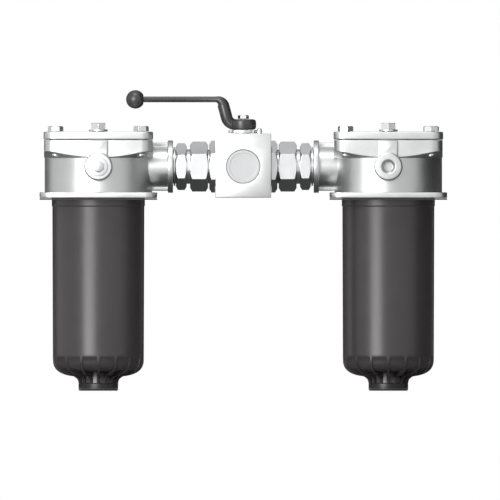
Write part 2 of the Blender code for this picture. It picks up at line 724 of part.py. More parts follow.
def make_bowl(side):
    name = f"bowl_{side}"
    band_base = BOWL_DROP - BOWL_BAND
    shell = dome(dome_radius - RIB_DEPTH, FLOOR_DEPTH, FLOOR_POWER, 4)
    ring_radius = spout_radius + SPOUT_RING
    # A moulded bowl has no port side, so both hang the same way round
    facing = {"rotation": (0, 0, -FRAMES[side].rotation_euler.z)}
    profile = [
        (0, lip_top), (lip_radius, lip_top), *oring_rebate(lip_radius, lip_base),
        (BOWL_RADIUS, lip_base), (BOWL_RADIUS, band_base),
        (BOWL_RADIUS - BOWL_STEP, band_base - BOWL_STEP), (dome_radius, RIB_TOP),
        *shell, (spout_radius, RIB_TOP - FLOOR_DEPTH),
        (spout_radius, SPOUT_RING_HEIGHT), (ring_radius, SPOUT_RING_HEIGHT),
        (ring_radius, SPOUT_CHAMFER), (ring_radius - SPOUT_CHAMFER, 0), (0, 0),
    ]
    bowl = turned(name, profile, side, NYLON, turn=FACET_TURN, **facing)

    # Stiffening ribs run down over the dome to the ring round the spout
    outline = dome(dome_radius, DOME_DEPTH, DOME_POWER, 4) + [
        (ring_radius + SPOUT_CHAMFER, SPOUT_RING_HEIGHT + SPOUT_FOOT), (ring_radius, SPOUT_RING_HEIGHT)]
    half_wall = BOWL_WALL / 2
    core = spout_radius - half_wall
    back = [(core, SPOUT_RING_HEIGHT - half_wall), (core, RIB_TOP - FLOOR_DEPTH + half_wall),
            *reversed(dome(dome_radius - RIB_DEPTH - half_wall, FLOOR_DEPTH - half_wall, FLOOR_POWER, 2))]
    bm = bmesh.new()
    for i in range(RIB_COUNT):
        face = bm.faces.new([bm.verts.new((r, -RIB_THICKNESS / 2, z)) for r, z in outline + back])
        grown = bmesh.ops.extrude_face_region(bm, geom=[face])["geom"]
        moved = [v for v in grown if isinstance(v, bmesh.types.BMVert)]
        bmesh.ops.translate(bm, verts=moved, vec=(0, RIB_THICKNESS, 0))
        place = Matrix.Rotation(math.tau * i / RIB_COUNT, 3, "Z")
        bmesh.ops.rotate(bm, verts=moved + list(face.verts), matrix=place)
    bmesh.ops.recalc_face_normals(bm, faces=bm.faces[:])
    join(bowl, add(f"{name}_ribs", mesh_from(bm, f"{name}_ribs"), side, NYLON, **facing))

    inside = dome(dome_radius - RIB_DEPTH - BOWL_WALL, FLOOR_DEPTH - BOWL_WALL, FLOOR_POWER, 3)
    hollow = [(0, lip_top + OVERCUT), (bowl_inner_top, lip_top + OVERCUT), (bowl_inner_top, lip_base),
              (bowl_inner_base, RIB_TOP + RIB_DEPTH), *inside, (SPOUT_BORE, floor_z),
              (SPOUT_BORE, -OVERCUT), (0, -OVERCUT)]
    cut(bowl, turned(f"{name}_hollow", hollow, side, steps=MEDIUM_ROUND, **facing))
    seal_ring(f"bowl_oring_{side}", lip_radius, ledge_top + GAP + ORING / 2, side, turn=FACET_TURN, **facing)


def make_element(side):
    skirt_inner = element_radius - CAP_WALL
    media_radius = skirt_inner - PLEAT_GAP
    rim_inner = HOLD_COIL + HOLD_WIRE + GAP
    top_cap = [(BYPASS_HOLE, element_top), (rim_inner, element_top),
               (rim_inner, element_top + HOLD_RIM_HEIGHT), (rim_inner + HOLD_RIM, element_top + HOLD_RIM_HEIGHT),
               (rim_inner + HOLD_RIM, element_top), (element_radius, element_top),
               (element_radius, cap_underside - CAP_SKIRT), (skirt_inner, cap_underside - CAP_SKIRT),
               (skirt_inner, cap_underside), (BYPASS_HOLE, cap_underside)]
    turned(f"element_top_cap_{side}", top_cap, side, STEEL, MEDIUM_ROUND, closed=True)
    seat = floor_z + GAP
    bottom_cap = [(SPIGOT_BORE, cap_bottom_top), (skirt_inner, cap_bottom_top),
                  (skirt_inner, cap_bottom_top + CAP_SKIRT), (element_radius, cap_bottom_top + CAP_SKIRT),
                  (element_radius, cap_base), (SEAT_BOSS, cap_base), (SEAT_BOSS, seat),
                  (SPOUT_BORE - GAP, seat), (SPOUT_BORE - GAP, floor_z - SPIGOT_REACH),
                  (SPIGOT_BORE, floor_z - SPIGOT_REACH)]
    turned(f"element_bottom_cap_{side}", bottom_cap, side, STEEL, MEDIUM_ROUND, closed=True)

    core = tube(f"element_core_{side}", CORE_RADIUS - CORE_WALL, CORE_RADIUS, media_base, media_top,
                side, STEEL, MEDIUM_ROUND)
    cut(core, spokes(f"element_core_{side}_slots", CORE_SLOTS, CORE_RADIUS - 2 * CORE_WALL,
                     CORE_RADIUS + CORE_WALL, CORE_SLOT_WIDTH, media_base + CORE_SLOT_MARGIN,
                     media_top - CORE_SLOT_MARGIN, side))
    middle = (media_base + media_top) / 2

    # One sheet of paper folded to and fro between the core and the caps' skirts
    curve = bpy.data.curves.new(f"element_media_{side}", "CURVE")
    curve.dimensions = "2D"
    curve.fill_mode = "BOTH"
    curve.extrude = (media_top - media_base) / 2
    valley = CORE_RADIUS + GAP
    for peak, trough in ((media_radius, valley + PAPER), (media_radius - PAPER, valley)):
        fold = curve.splines.new("POLY")
        fold.points.add(2 * PLEATS - 1)
        fold.use_cyclic_u = True
        for i, point in enumerate(fold.points):
            radius = trough if i % 2 else peak
            angle = math.pi * i / PLEATS
            point.co = (radius * math.cos(angle), radius * math.sin(angle), 0, 1)
    add(f"element_media_{side}", curve, side, PAPER_MEDIA, location=(0, 0, middle))


def make_bypass(side):
    stem_end = cage_floor - BYPASS_FLOOR - 2 * GAP
    poppet = [(0, cap_underside + CAP_THICKNESS / 2), (BYPASS_NOSE, cap_underside + CAP_THICKNESS / 4),
              (BYPASS_NOSE, poppet_top), (poppet_radius, poppet_top), (poppet_radius, poppet_base),
              (BYPASS_STEM, poppet_base), (BYPASS_STEM, stem_end), (0, stem_end)]
    turned(f"bypass_poppet_{side}", poppet, side, STEEL, SMALL_ROUND)
    floor_base = cage_floor - BYPASS_FLOOR
    stem_hole = BYPASS_STEM + GAP
    cage = [(cage_inner, poppet_top), (cage_outer, poppet_top), (cage_outer, floor_base),
            (stem_hole, floor_base), (stem_hole, cage_floor), (cage_inner, cage_floor)]
    basket = turned(f"bypass_cage_{side}", cage, side, STEEL, SMALL_ROUND, closed=True)
    cut(basket, spokes(f"bypass_cage_{side}_windows", BYPASS_WINDOWS, poppet_radius - BYPASS_WALL,
                       cage_outer + BYPASS_WALL, BYPASS_WINDOW_WIDTH, cage_floor + BYPASS_WALL,
                       poppet_base - BYPASS_WALL, side))
    spring(f"bypass_spring_{side}", BYPASS_COIL, BYPASS_WIRE, bypass_spring_base, bypass_spring_top, side)
    spring(f"hold_down_spring_{side}", HOLD_COIL, HOLD_WIRE, element_top + GAP, cover_base - GAP, side)


def along_pipe(near, far):
    """Two distances from the valve as places on the filter's own X axis, low one first."""
    return filter_x - far, filter_x - near


def make_fittings(side):
    pipe = {"location": (0, 0, port_z), "rotation": ALONG_X}
    name = f"filter_adaptor_{side}"
    start = filter_x - tail_end
    shoulder = filter_x - tail_seat
    in_hexagon = filter_x - adaptor_hex_near - OVERCUT
    thread_end = port_face - PORT_THREAD_LENGTH
    profile = [(0, start), (union_radius, start), (union_radius, shoulder), (tail_radius, shoulder),
               (tail_radius, in_hexagon), (port_thread, in_hexagon), (port_thread, thread_end), (0, thread_end)]
    adaptor = turned(name, profile, side, STEEL, MEDIUM_ROUND, **pipe)
    join(adaptor, hexagon(f"{name}_hexagon", adaptor_hex, *along_pipe(adaptor_hex_near, adaptor_hex_far),
                          side, **pipe))
    cut(adaptor, disc(f"{name}_bore", FLOW_RADIUS, thread_end - OVERCUT, start + OVERCUT, side,
                      steps=SMALL_ROUND, **pipe))

    tube(f"adaptor_seal_{side}", port_bore, port_bore + SEAL_WIDTH, *along_pipe(seal_near, seal_far),
         side, RUBBER, MEDIUM_ROUND, **pipe)

    name = f"union_nut_{side}"
    nut = hexagon(name, nut_hex, *along_pipe(nut_near, nut_far), side, **pipe)
    low, high = along_pipe(nut_near, nut_far)
    thread = [(0, high + OVERCUT), (union_radius + GAP, high + OVERCUT), (union_radius + GAP, low + NUT_LIP),
              (tail_radius + GAP, low + NUT_LIP), (tail_radius + GAP, low - OVERCUT), (0, low - OVERCUT)]
    cut(nut, turned(f"{name}_thread", thread, side, steps=MEDIUM_ROUND, **pipe))

    name = f"valve_adaptor_{side}"
    near = block_half - VALVE_THREAD_LENGTH
    inner_end = filter_x - near
    hex_inside = filter_x - valve_hex_far
    undercut_end = hex_inside - UNDERCUT_LENGTH
    outer_end = filter_x - valve_tail_end
    profile = [(0, inner_end), (valve_thread, inner_end), (valve_thread, filter_x - valve_hex_near - OVERCUT),
               (undercut_radius, filter_x - valve_hex_near - OVERCUT), (undercut_radius, undercut_end),
               (union_radius, undercut_end), (union_radius, outer_end), (0, outer_end)]
    fitting = turned(name, profile, side, STEEL, MEDIUM_ROUND, **pipe)
    join(fitting, hexagon(f"{name}_hexagon", valve_hex, *along_pipe(valve_hex_near, valve_hex_far),
                          side, chamfers=(True, False), **pipe))
    cut(fitting, disc(f"{name}_bore", FLOW_RADIUS, outer_end - OVERCUT, inner_end + OVERCUT, side,
                      steps=SMALL_ROUND, **pipe))


def make_seat(side):
    """The seat's inner end is a hollow sphere that fits the ball, just clear of it."""
    outer_end = filter_x - (block_half - VALVE_THREAD_LENGTH) + GAP
    inner_end = filter_x - SEAT_INNER
    pipe = {"location": (0, 0, port_z), "rotation": ALONG_X}
    seat = tube(f"valve_seat_{side}", FLOW_RADIUS, valve_thread, outer_end, inner_end, side, PTFE, MEDIUM_ROUND, **pipe)
    sphere = [(r, filter_x + z) for r, z in half_circle(ball_radius + GAP, BALL_STEPS)]
    cut(seat, turned(f"valve_seat_{side}_sphere", sphere, side, steps=MEDIUM_ROUND, **pipe))


def make_valve():
    side = "valve"
    body = block("valve_body", (-block_half, -BLOCK_FRONT, port_z - BLOCK_BELOW),
                 (block_half, BLOCK_BACK, block_top), side, BLOCK, BLOCK_EDGE)
    cross = {"location": (0, 0, port_z), "rotation": ALONG_X}
    cut(body, disc("valve_body_chamber", chamber_radius, -block_half - OVERCUT, block_half + OVERCUT,
                   side, steps=MEDIUM_ROUND, **cross))
    inlet = [(0, BLOCK_FRONT + OVERCUT), (INLET_RADIUS, BLOCK_FRONT + OVERCUT),
             (INLET_RADIUS, BLOCK_FRONT - INLET_DEPTH), (FLOW_RADIUS, BLOCK_FRONT - INLET_DEPTH),
             (FLOW_RADIUS, 0), (0, 0)]
    front = {"location": (0, 0, port_z), "rotation": TOWARDS_FRONT}
    cut(body, turned("valve_body_inlet", inlet, side, steps=MEDIUM_ROUND, **front))
    stem_bore = [(0, block_top + OVERCUT), (STEM_RADIUS + GAP, block_top + OVERCUT),
                 (STEM_RADIUS + GAP, collar_top + GAP), (STEM_RADIUS + STEM_COLLAR + GAP, collar_top + GAP),
                 (STEM_RADIUS + STEM_COLLAR + GAP, port_z), (0, port_z)]
    cut(body, turned("valve_body_stem_bore", stem_bore, side, steps=MEDIUM_ROUND))
    pin_xy = (pin_place * math.cos(PIN_ANGLE), pin_place * math.sin(PIN_ANGLE), 0)
    cut(body, disc("valve_body_pin_hole", PIN_RADIUS + GAP, block_top - PIN_DEPTH - GAP, block_top + OVERCUT,
                   side, steps=TINY_ROUND, location=pin_xy))

    # Ball with its L bore: one leg towards the left filter, one towards the inlet
    ball = half_circle(ball_radius, BALL_STEPS)
    sphere = turned("valve_ball", ball, side, STEEL, MEDIUM_ROUND, location=(0, 0, port_z))
    elbow = disc("valve_ball_leg", FLOW_RADIUS, 0, ball_radius + OVERCUT, side, steps=MEDIUM_ROUND,
                 location=(0, 0, port_z), rotation=OUT_ALONG_LEVER)
    cut(sphere, elbow)
    cut(sphere, disc("valve_ball_inlet", FLOW_RADIUS, 0, ball_radius + OVERCUT, side, steps=MEDIUM_ROUND, **front))
    slot_half = TONGUE_THICKNESS / 2 + GAP
    cut(sphere, block("valve_ball_slot", (-ball_radius, -slot_half, ball_top - TONGUE_DEPTH - GAP),
                      (ball_radius, slot_half, ball_top + OVERCUT), side))

    # Stem: tongue in the ball, captive collar, seal groove, then a square for the plate and lever
    groove_z = (collar_top + block_top) / 2
    profile = [(0, plate_base), (STEM_RADIUS, plate_base), *oring_groove(STEM_RADIUS, groove_z),
               (STEM_RADIUS, collar_top), (STEM_RADIUS + STEM_COLLAR, collar_top),
               (STEM_RADIUS + STEM_COLLAR, collar_base), (0, collar_base)]
    stem = turned("valve_stem", profile, side, STEEL, MEDIUM_ROUND)
    square = STEM_SQUARE / 2
    join(stem, block("valve_stem_square", (-square, -square, plate_base - OVERCUT),
                     (square, square, stem_top), side))
    join(stem, block("valve_stem_tongue", (-TONGUE_WIDTH / 2, -TONGUE_THICKNESS / 2, ball_top - TONGUE_DEPTH),
                     (TONGUE_WIDTH / 2, TONGUE_THICKNESS / 2, collar_base + OVERCUT), side))
    screw_end = hub_top + GAP - SCREW_LENGTH
    cut(stem, disc("valve_stem_screw_hole", SCREW_RADIUS + GAP, screw_end - GAP, stem_top + OVERCUT, side,
                   steps=TINY_ROUND))
    seal_ring("stem_oring", STEM_RADIUS, groove_z, side, steps=MEDIUM_ROUND)

    # Stop plate: its two lugs meet the pin at the ends of the lever's quarter turn
    hole = square + GAP
    plate_disc = disc("stop_plate", STOP_RADIUS, plate_base, plate_top, side, steps=MEDIUM_ROUND)
    half_pin = math.asin(PIN_RADIUS / pin_place)
    from_pin = half_pin + STOP_LUG_ANGLE / 2 + STOP_PLAY
    lug_half = STOP_RADIUS * math.tan(STOP_LUG_ANGLE / 2)
    for number, angle in enumerate((PIN_ANGLE + from_pin, PIN_ANGLE - from_pin - LEVER_TRAVEL), 1):
        join(plate_disc, block(f"stop_plate_lug_{number}", (hole, -lug_half, plate_base),
                               (STOP_RADIUS + STOP_LUG, lug_half, plate_top), side, turn=angle))
    cut(plate_disc, block("stop_plate_hole", (-hole, -hole, plate_base - OVERCUT),
                          (hole, hole, plate_top + OVERCUT), side))
    pin_top = block_top + PIN_SHOWN
    pin = [(0, pin_top), (PIN_RADIUS / 2, pin_top), (PIN_RADIUS, pin_top - PIN_RADIUS / 2),
           (PIN_RADIUS, block_top - PIN_DEPTH), (0, block_top - PIN_DEPTH)]
    turned("stop_pin", pin, side, STEEL, TINY_ROUND, location=pin_xy)
    plug_radius = INLET_RADIUS - GAP
    skirt = plug_radius - INLET_PLUG_WALL
    cup = [(0, BLOCK_FRONT), (plug_radius, BLOCK_FRONT), (plug_radius, BLOCK_FRONT - INLET_PLUG_DEPTH),
           (skirt, BLOCK_FRONT - INLET_PLUG_DEPTH), (skirt, BLOCK_FRONT - INLET_PLUG_FACE),
           (0, BLOCK_FRONT - INLET_PLUG_FACE)]
    turned("inlet_plug", cup, side, POLYTHENE, MEDIUM_ROUND, **front)


def arc(centre_x, centre_z, radius, start, end, count):
    """Points of an arc in the lever's upright plane."""
    angles = [start + (end - start) * i / count for i in range(count + 1)]
    return [(centre_x + radius * math.cos(a), 0, centre_z + radius * math.sin(a)) for a in angles]


def make_lever():
    side = "valve"
    shoulder = HUB_EDGE * (1 - math.sqrt(0.5))
    barrel = [(0, hub_top), (HUB_RADIUS - HUB_EDGE, hub_top), (HUB_RADIUS - shoulder, hub_top - shoulder),
              (HUB_RADIUS, hub_top - HUB_EDGE), (HUB_RADIUS, hub_base + HUB_EDGE),
              (HUB_RADIUS - shoulder, hub_base + shoulder), (HUB_RADIUS - HUB_EDGE, hub_base), (0, hub_base)]
    lever = turned("lever", barrel, side, ENAMEL, MEDIUM_ROUND)

    # Gooseneck: out of the hub, up the leaning post, and over into the bar, getting thinner on the way
    root_z = hub_base + HUB_HEIGHT / 2
    lower = arc(-POST_FOOT, root_z + LOWER_BEND, LOWER_BEND, -math.pi / 2, POST_LEAN - math.pi, 4)
    foot_x, _, foot_z = lower[-1]
    rise = bar_z - UPPER_BEND * (1 - math.sin(POST_LEAN)) - foot_z
    bend_x = foot_x - rise * math.tan(POST_LEAN) - UPPER_BEND * math.cos(POST_LEAN)
    upper = arc(bend_x, bar_z - UPPER_BEND, UPPER_BEND, POST_LEAN, math.pi / 2, 5)
    bar_end = -(LEVER_REACH + KNOB_DEPTH - GAP)
    path = [(-HUB_RADIUS / 2, 0, root_z), *lower, *upper, (bar_end, 0, bar_z)]
    radii = [ROOT_RADIUS - HUB_EDGE / 3]
    radii += [ROOT_RADIUS + (POST_RADIUS - ROOT_RADIUS) * i / 4 for i in range(5)]
    radii += [POST_RADIUS + (BAR_RADIUS - POST_RADIUS) * i / 5 for i in range(6)]
    radii += [BAR_RADIUS]
    join(lever, rod("lever_bar", path, radii, side, ENAMEL, 3))
    hole = STEM_SQUARE / 2 + GAP
    cut(lever, block("lever_square_hole", (-hole, -hole, hub_base - OVERCUT),
                     (hole, hole, hub_top - HUB_WEB), side))
    cut(lever, disc("lever_screw_hole", SCREW_RADIUS + GAP, hub_base, hub_top + OVERCUT, side, steps=TINY_ROUND))

    turn_from = math.asin(KNOB_FLAT / KNOB_RADIUS)
    angles = [(math.pi - turn_from) * i / 8 for i in range(9)]
    ball = [(KNOB_RADIUS * math.sin(a), KNOB_RADIUS * math.cos(a)) for a in angles]
    bore = BAR_RADIUS + GAP
    profile = ball + [(bore, ball[-1][1]), (bore, KNOB_DEPTH), (0, KNOB_DEPTH)]
    turned("knob", profile, side, BAKELITE, SMALL_ROUND, location=(-LEVER_REACH, 0, bar_z), rotation=OUT_ALONG_LEVER)

    seat = hub_top + GAP
    screw = small_hexagon("lever_screw", SCREW_HEX, seat, seat + SCREW_HEAD, side)
    join(screw, disc("lever_screw_shank", SCREW_RADIUS, seat - SCREW_LENGTH, seat + SCREW_HEAD / 2, side,
                     steps=TINY_ROUND))


for side in ("left", "right"):
    make_head(side)
    make_gasket(side)
    make_cover(side)
    make_bolts(side)
    make_plug(f"bleed_plug_{side}", BLEED_HEX, BLEED_HEX_HEIGHT, side, math.pi / 6,
              location=(0, 0, cover_top + GAP))
    make_plug(f"port_plug_{side}", PORT_PLUG_HEX, PORT_PLUG_HEX_HEIGHT, side, math.pi / 6,
              location=(0, -boss_face - GAP, port_z), rotation=TOWARDS_FRONT)
    make_bowl(side)
    make_element(side)
    make_bypass(side)
    make_fittings(side)
    make_seat(side)
make_valve()
make_lever()
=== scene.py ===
# %% [markdown]
# # Duplex return line filter
# Two filters hang through the lid of an oil tank. Hexagon unions join both to one changeover ball valve,
# so that one filter can be cleaned while the other one works. The CAD frame has every piece as a plain
# solid. This notebook gives each piece its round edges and its finish, then lights the whole.

# %% Load the frame
import math

import bmesh
import bpy
from mathutils import Matrix, Vector


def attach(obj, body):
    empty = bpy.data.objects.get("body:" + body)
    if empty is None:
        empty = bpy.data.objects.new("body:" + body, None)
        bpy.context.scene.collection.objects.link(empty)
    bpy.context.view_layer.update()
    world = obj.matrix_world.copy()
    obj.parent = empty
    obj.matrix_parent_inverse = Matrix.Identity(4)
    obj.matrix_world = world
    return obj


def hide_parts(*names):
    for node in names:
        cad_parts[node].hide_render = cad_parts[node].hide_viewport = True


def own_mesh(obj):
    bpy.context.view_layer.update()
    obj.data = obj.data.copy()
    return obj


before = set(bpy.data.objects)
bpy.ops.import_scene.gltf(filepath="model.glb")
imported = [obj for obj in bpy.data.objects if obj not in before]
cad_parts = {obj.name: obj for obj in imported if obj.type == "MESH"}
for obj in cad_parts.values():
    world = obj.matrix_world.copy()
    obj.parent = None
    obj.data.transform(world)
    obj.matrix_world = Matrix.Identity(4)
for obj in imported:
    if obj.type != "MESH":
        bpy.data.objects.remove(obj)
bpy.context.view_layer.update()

# %% [markdown]
# ## Sizes
# Every length here is in millimetres and is the one that the CAD uses, so a new piece needs no fitting.
# Each filter is modelled about its own upright axis with its port towards +X. The right filter is the
# same casting turned by half a turn, so one mesh serves both sides.

# %% Shared sizes
MM = 0.001
GAP = 0.3
PORT_Z = 224.2
FLANGE_BASE = 192.8
HEAD_TOP = 250.7
BODY_RADIUS = 53.7
BORE_RADIUS = 49.3
PORT_FACE = 74.7
BOSS_FACE = 60.5
BOLT_PLACE = 42.75
HOLE_PLACE = 46.5
COVER_BASE = 251.0
COVER_TOP = 259.1
FLOW_RADIUS = 12.5
FILTER_X = 145.0

UP = Matrix.Identity(4)
ALONG_X = Matrix.Rotation(math.pi / 2, 4, "Y")
TO_FRONT = Matrix.Rotation(math.pi / 2, 4, "X")
TO_BACK = Matrix.Rotation(-math.pi / 2, 4, "X")
TO_LEFT = Matrix.Rotation(-math.pi / 2, 4, "Y")


def moved(x, y, z, turn=UP):
    """A place in millimetres, with a turn."""
    return Matrix.Translation(Vector((x, y, z)) * MM) @ turn


SIDES = {
    "left": moved(-FILTER_X, 0, 0),
    "right": moved(FILTER_X, 0, 0, Matrix.Rotation(math.pi, 4, "Z")),
}
PORT = moved(0, 0, PORT_Z, ALONG_X)
print("filters stand", 2 * FILTER_X, "mm apart")

# %% [markdown]
# ## Camera
# The picture has no perspective: both bowls show the same width from top to bottom and no flange shows
# its upper face. An orthographic camera that looks along +Y gives that. One pixel is one millimetre.

# %% Camera
lens = bpy.data.cameras.new("catalogue_camera")
lens.type = "ORTHO"
lens.ortho_scale = 0.5
camera = bpy.data.objects.new("catalogue_camera", lens)
camera.location = (0.00665, -1.5, 0.1408)
camera.rotation_euler = (math.pi / 2, 0, 0)
bpy.context.scene.collection.objects.link(camera)
bpy.context.scene.camera = camera
bpy.context.scene.view_settings.view_transform = "Standard"
print("camera sees", lens.ortho_scale / MM, "mm across")

# %% [markdown]
# ## Tools for finishes
# A finish is a small tree of shader nodes. Colours are written as sRGB hex, as a paint chart gives them,
# and turned to linear light by one function. A second one adds a node with its settings and links.


# %% Finish tools
def srgb(code):
    """A hex colour as linear red, green, blue and alpha."""
    parts = [int(code[i:i + 2], 16) / 255 for i in (1, 3, 5)]
    return (*[p / 12.92 if p <= 0.04045 else ((p + 0.055) / 1.055) ** 2.4 for p in parts], 1)


def join(tree, node, inputs):
    """Sets each named input to a value, or links it to another node's output."""
    for name, value in inputs.items():
        if isinstance(value, bpy.types.NodeSocket):
            tree.links.new(value, node.inputs[name])
        else:
            node.inputs[name].default_value = value


def add_node(tree, kind, inputs, **settings):
    """A node with its settings and inputs."""
    made = tree.nodes.new(kind)
    for name, value in settings.items():
        setattr(made, name, value)
    join(tree, made, inputs)
    return made


def new_finish(name):
    """A material, its node tree and shader, and the object coordinates that its patterns are laid out in."""
    made = bpy.data.materials.new(name)
    made.use_nodes = True
    tree = made.node_tree
    place = add_node(tree, "ShaderNodeTexCoord", {}).outputs["Object"]
    return made, tree, tree.nodes["Principled BSDF"], place


def per_metre(size_mm):
    """The texture scale that gives one feature in each size_mm."""
    return 1 / (size_mm * MM)


# A colour Mix node keeps its factor in socket 0, its colours in sockets 6 and 7 and its result in output 2.
FACTOR, FIRST, SECOND, MIXED = 0, 6, 7, 2
FINISHES = {}
print("finish tools ready")

# %% [markdown]
# ## Die-cast aluminium
# The heads and covers are die cast and then shot blasted. Blasting leaves a fine even grain of pits about
# a millimetre across, so the metal is bright but soft, with no clear reflections. The melt also cools
# unevenly, which shows as faint clouds a few centimetres wide. A Bevel node rounds the corners where two
# cast forms meet, as the die's own fillets do.

# %% Die-cast aluminium
made, tree, shader, place = new_finish("shot_blasted_cast_aluminium")
grain = add_node(tree, "ShaderNodeTexNoise", {"Vector": place, "Scale": per_metre(1.1), "Detail": 3.0})
cloud = add_node(tree, "ShaderNodeTexNoise", {"Vector": place, "Scale": per_metre(24), "Detail": 2.0})
corner = add_node(tree, "ShaderNodeBevel", {"Radius": 1.1 * MM}, samples=6)
pits = add_node(tree, "ShaderNodeBump", {"Strength": 0.32, "Distance": 0.16 * MM,
                                         "Height": grain.outputs["Fac"], "Normal": corner.outputs["Normal"]})
tone = add_node(tree, "ShaderNodeMix", {FACTOR: cloud.outputs["Fac"], FIRST: srgb("#BFC0C0"),
                                        SECOND: srgb("#CCCDCD")}, data_type="RGBA")
gloss = add_node(tree, "ShaderNodeMapRange", {"Value": cloud.outputs["Fac"], "From Min": 0.3, "From Max": 0.7,
                                              "To Min": 0.35, "To Max": 0.41})
join(tree, shader, {"Base Color": tone.outputs[MIXED], "Metallic": 1.0, "Roughness": gloss.outputs["Result"],
                    "Normal": pits.outputs["Normal"]})
FINISHES["cast_aluminium"] = made
print(made.name, len(tree.nodes), "nodes")

# %% [markdown]
# ## Zinc-plated steel
# Bolts, plugs and unions are turned or forged steel with a bright zinc coat. Zinc grows as fine crystals,
# which give it a faint frost half a millimetre fine, and where it was handled or chromated it is cloudy.
# So it mirrors more sharply than the casting does, and its grey changes a little from place to place.

# %% Zinc-plated steel
made, tree, shader, place = new_finish("bright_zinc_plated_steel")
cloud = add_node(tree, "ShaderNodeTexNoise", {"Vector": place, "Scale": per_metre(7), "Detail": 4.0})
frost = add_node(tree, "ShaderNodeTexNoise", {"Vector": place, "Scale": per_metre(0.6), "Detail": 2.0})
corner = add_node(tree, "ShaderNodeBevel", {"Radius": 0.45 * MM}, samples=6)
marks = add_node(tree, "ShaderNodeBump", {"Strength": 0.06, "Distance": 0.05 * MM,
                                          "Height": frost.outputs["Fac"], "Normal": corner.outputs["Normal"]})
tone = add_node(tree, "ShaderNodeMix", {FACTOR: cloud.outputs["Fac"], FIRST: srgb("#D3D5D7"),
                                        SECOND: srgb("#DCDDDE")}, data_type="RGBA")
gloss = add_node(tree, "ShaderNodeMapRange", {"Value": cloud.outputs["Fac"], "From Min": 0.3, "From Max": 0.7,
                                              "To Min": 0.28, "To Max": 0.31})
join(tree, shader, {"Base Color": tone.outputs[MIXED], "Metallic": 1.0, "Roughness": gloss.outputs["Result"],
                    "Normal": marks.outputs["Normal"]})
FINISHES["zinc_plated_steel"] = made
print(made.name, len(tree.nodes), "nodes")

# %% [markdown]
# ## Milled block
# The valve body is sawn from bar and face milled. The cutter leaves shallow arcs, which at this size read
# as fine even lines across each face. They are stretched noise: long along one direction, short across it.

# %% Milled block
made, tree, shader, place = new_finish("face_milled_steel")
stretch = add_node(tree, "ShaderNodeMapping", {"Vector": place, "Scale": (1.0, 1.0, 14.0)})
lines = add_node(tree, "ShaderNodeTexNoise", {"Vector": stretch.outputs["Vector"], "Scale": per_metre(9),
                                              "Detail": 3.0})
cloud = add_node(tree, "ShaderNodeTexNoise", {"Vector": place, "Scale": per_metre(18), "Detail": 2.0})
corner = add_node(tree, "ShaderNodeBevel", {"Radius": 0.5 * MM}, samples=6)
marks = add_node(tree, "ShaderNodeBump", {"Strength": 0.10, "Distance": 0.05 * MM,
                                          "Height": lines.outputs["Fac"], "Normal": corner.outputs["Normal"]})
tone = add_node(tree, "ShaderNodeMix", {FACTOR: cloud.outputs["Fac"], FIRST: srgb("#CFD0D0"),
                                        SECOND: srgb("#DADADA")}, data_type="RGBA")
gloss = add_node(tree, "ShaderNodeMapRange", {"Value": lines.outputs["Fac"], "From Min": 0.3, "From Max": 0.7,
                                              "To Min": 0.34, "To Max": 0.44})
join(tree, shader, {"Base Color": tone.outputs[MIXED], "Metallic": 1.0, "Roughness": gloss.outputs["Result"],
                    "Normal": marks.outputs["Normal"]})
FINISHES["machined_block"] = made
print(made.name, len(tree.nodes), "nodes")

# %% [markdown]
# ## Black plastics and enamel
# The bowls are injection-moulded nylon filled with glass fibre. Close to the mould the surface is mostly
# resin, so it has a satin sheen, broken by a faint orange peel where fibres lie just below. The lever's
# enamel and the knob's polished phenolic are smoother versions of the same idea, so one loop makes all
# four from their own colours, roughness and texture size.

# %% Black plastics and enamel
BLACKS = {
    # slot: name, darker and lighter colour, roughness from and to, texture mm, bump mm, IOR
    "black_nylon": ("moulded_glass_filled_nylon", "#322E30", "#393537", 0.28, 0.32, 0.9, 0.030, 1.56),
    "glass_filled_cap_nylon": ("moulded_end_cap_nylon", "#2E2D2E", "#393839", 0.42, 0.50, 1.2, 0.040, 1.53),
    "black_enamel": ("semi_gloss_black_enamel", "#2B2A2B", "#343334", 0.28, 0.34, 2.2, 0.030, 1.52),
    "black_phenolic": ("polished_black_phenolic", "#262526", "#2E2D2E", 0.34, 0.40, 3.0, 0.010, 1.60),
}
for slot, (name, dark, light, smooth, rough, size, depth, ior) in BLACKS.items():
    made, tree, shader, place = new_finish(name)
    peel = add_node(tree, "ShaderNodeTexNoise", {"Vector": place, "Scale": per_metre(size), "Detail": 2.0})
    cloud = add_node(tree, "ShaderNodeTexNoise", {"Vector": place, "Scale": per_metre(22), "Detail": 3.0})
    corner = add_node(tree, "ShaderNodeBevel", {"Radius": 0.6 * MM}, samples=6)
    skin = add_node(tree, "ShaderNodeBump", {"Strength": 0.3, "Distance": depth * MM,
                                             "Height": peel.outputs["Fac"],
                                             "Normal": corner.outputs["Normal"]})
    tone = add_node(tree, "ShaderNodeMix", {FACTOR: cloud.outputs["Fac"], FIRST: srgb(dark),
                                            SECOND: srgb(light)}, data_type="RGBA")
    gloss = add_node(tree, "ShaderNodeMapRange", {"Value": cloud.outputs["Fac"], "From Min": 0.3,
                                                  "From Max": 0.7, "To Min": smooth, "To Max": rough})
    join(tree, shader, {"Base Color": tone.outputs[MIXED], "IOR": ior, "Roughness": gloss.outputs["Result"],
                        "Normal": skin.outputs["Normal"]})
    FINISHES[slot] = made
print(", ".join(BLACKS))

# %% [markdown]
# ## Rubber, paper, PTFE and polyethylene
# These are all matt or satin and not metal. Rubber has a dusty grain, filter paper has fibres, PTFE is
# waxy, and polyethylene lets a little light under its skin, which a small subsurface weight gives.

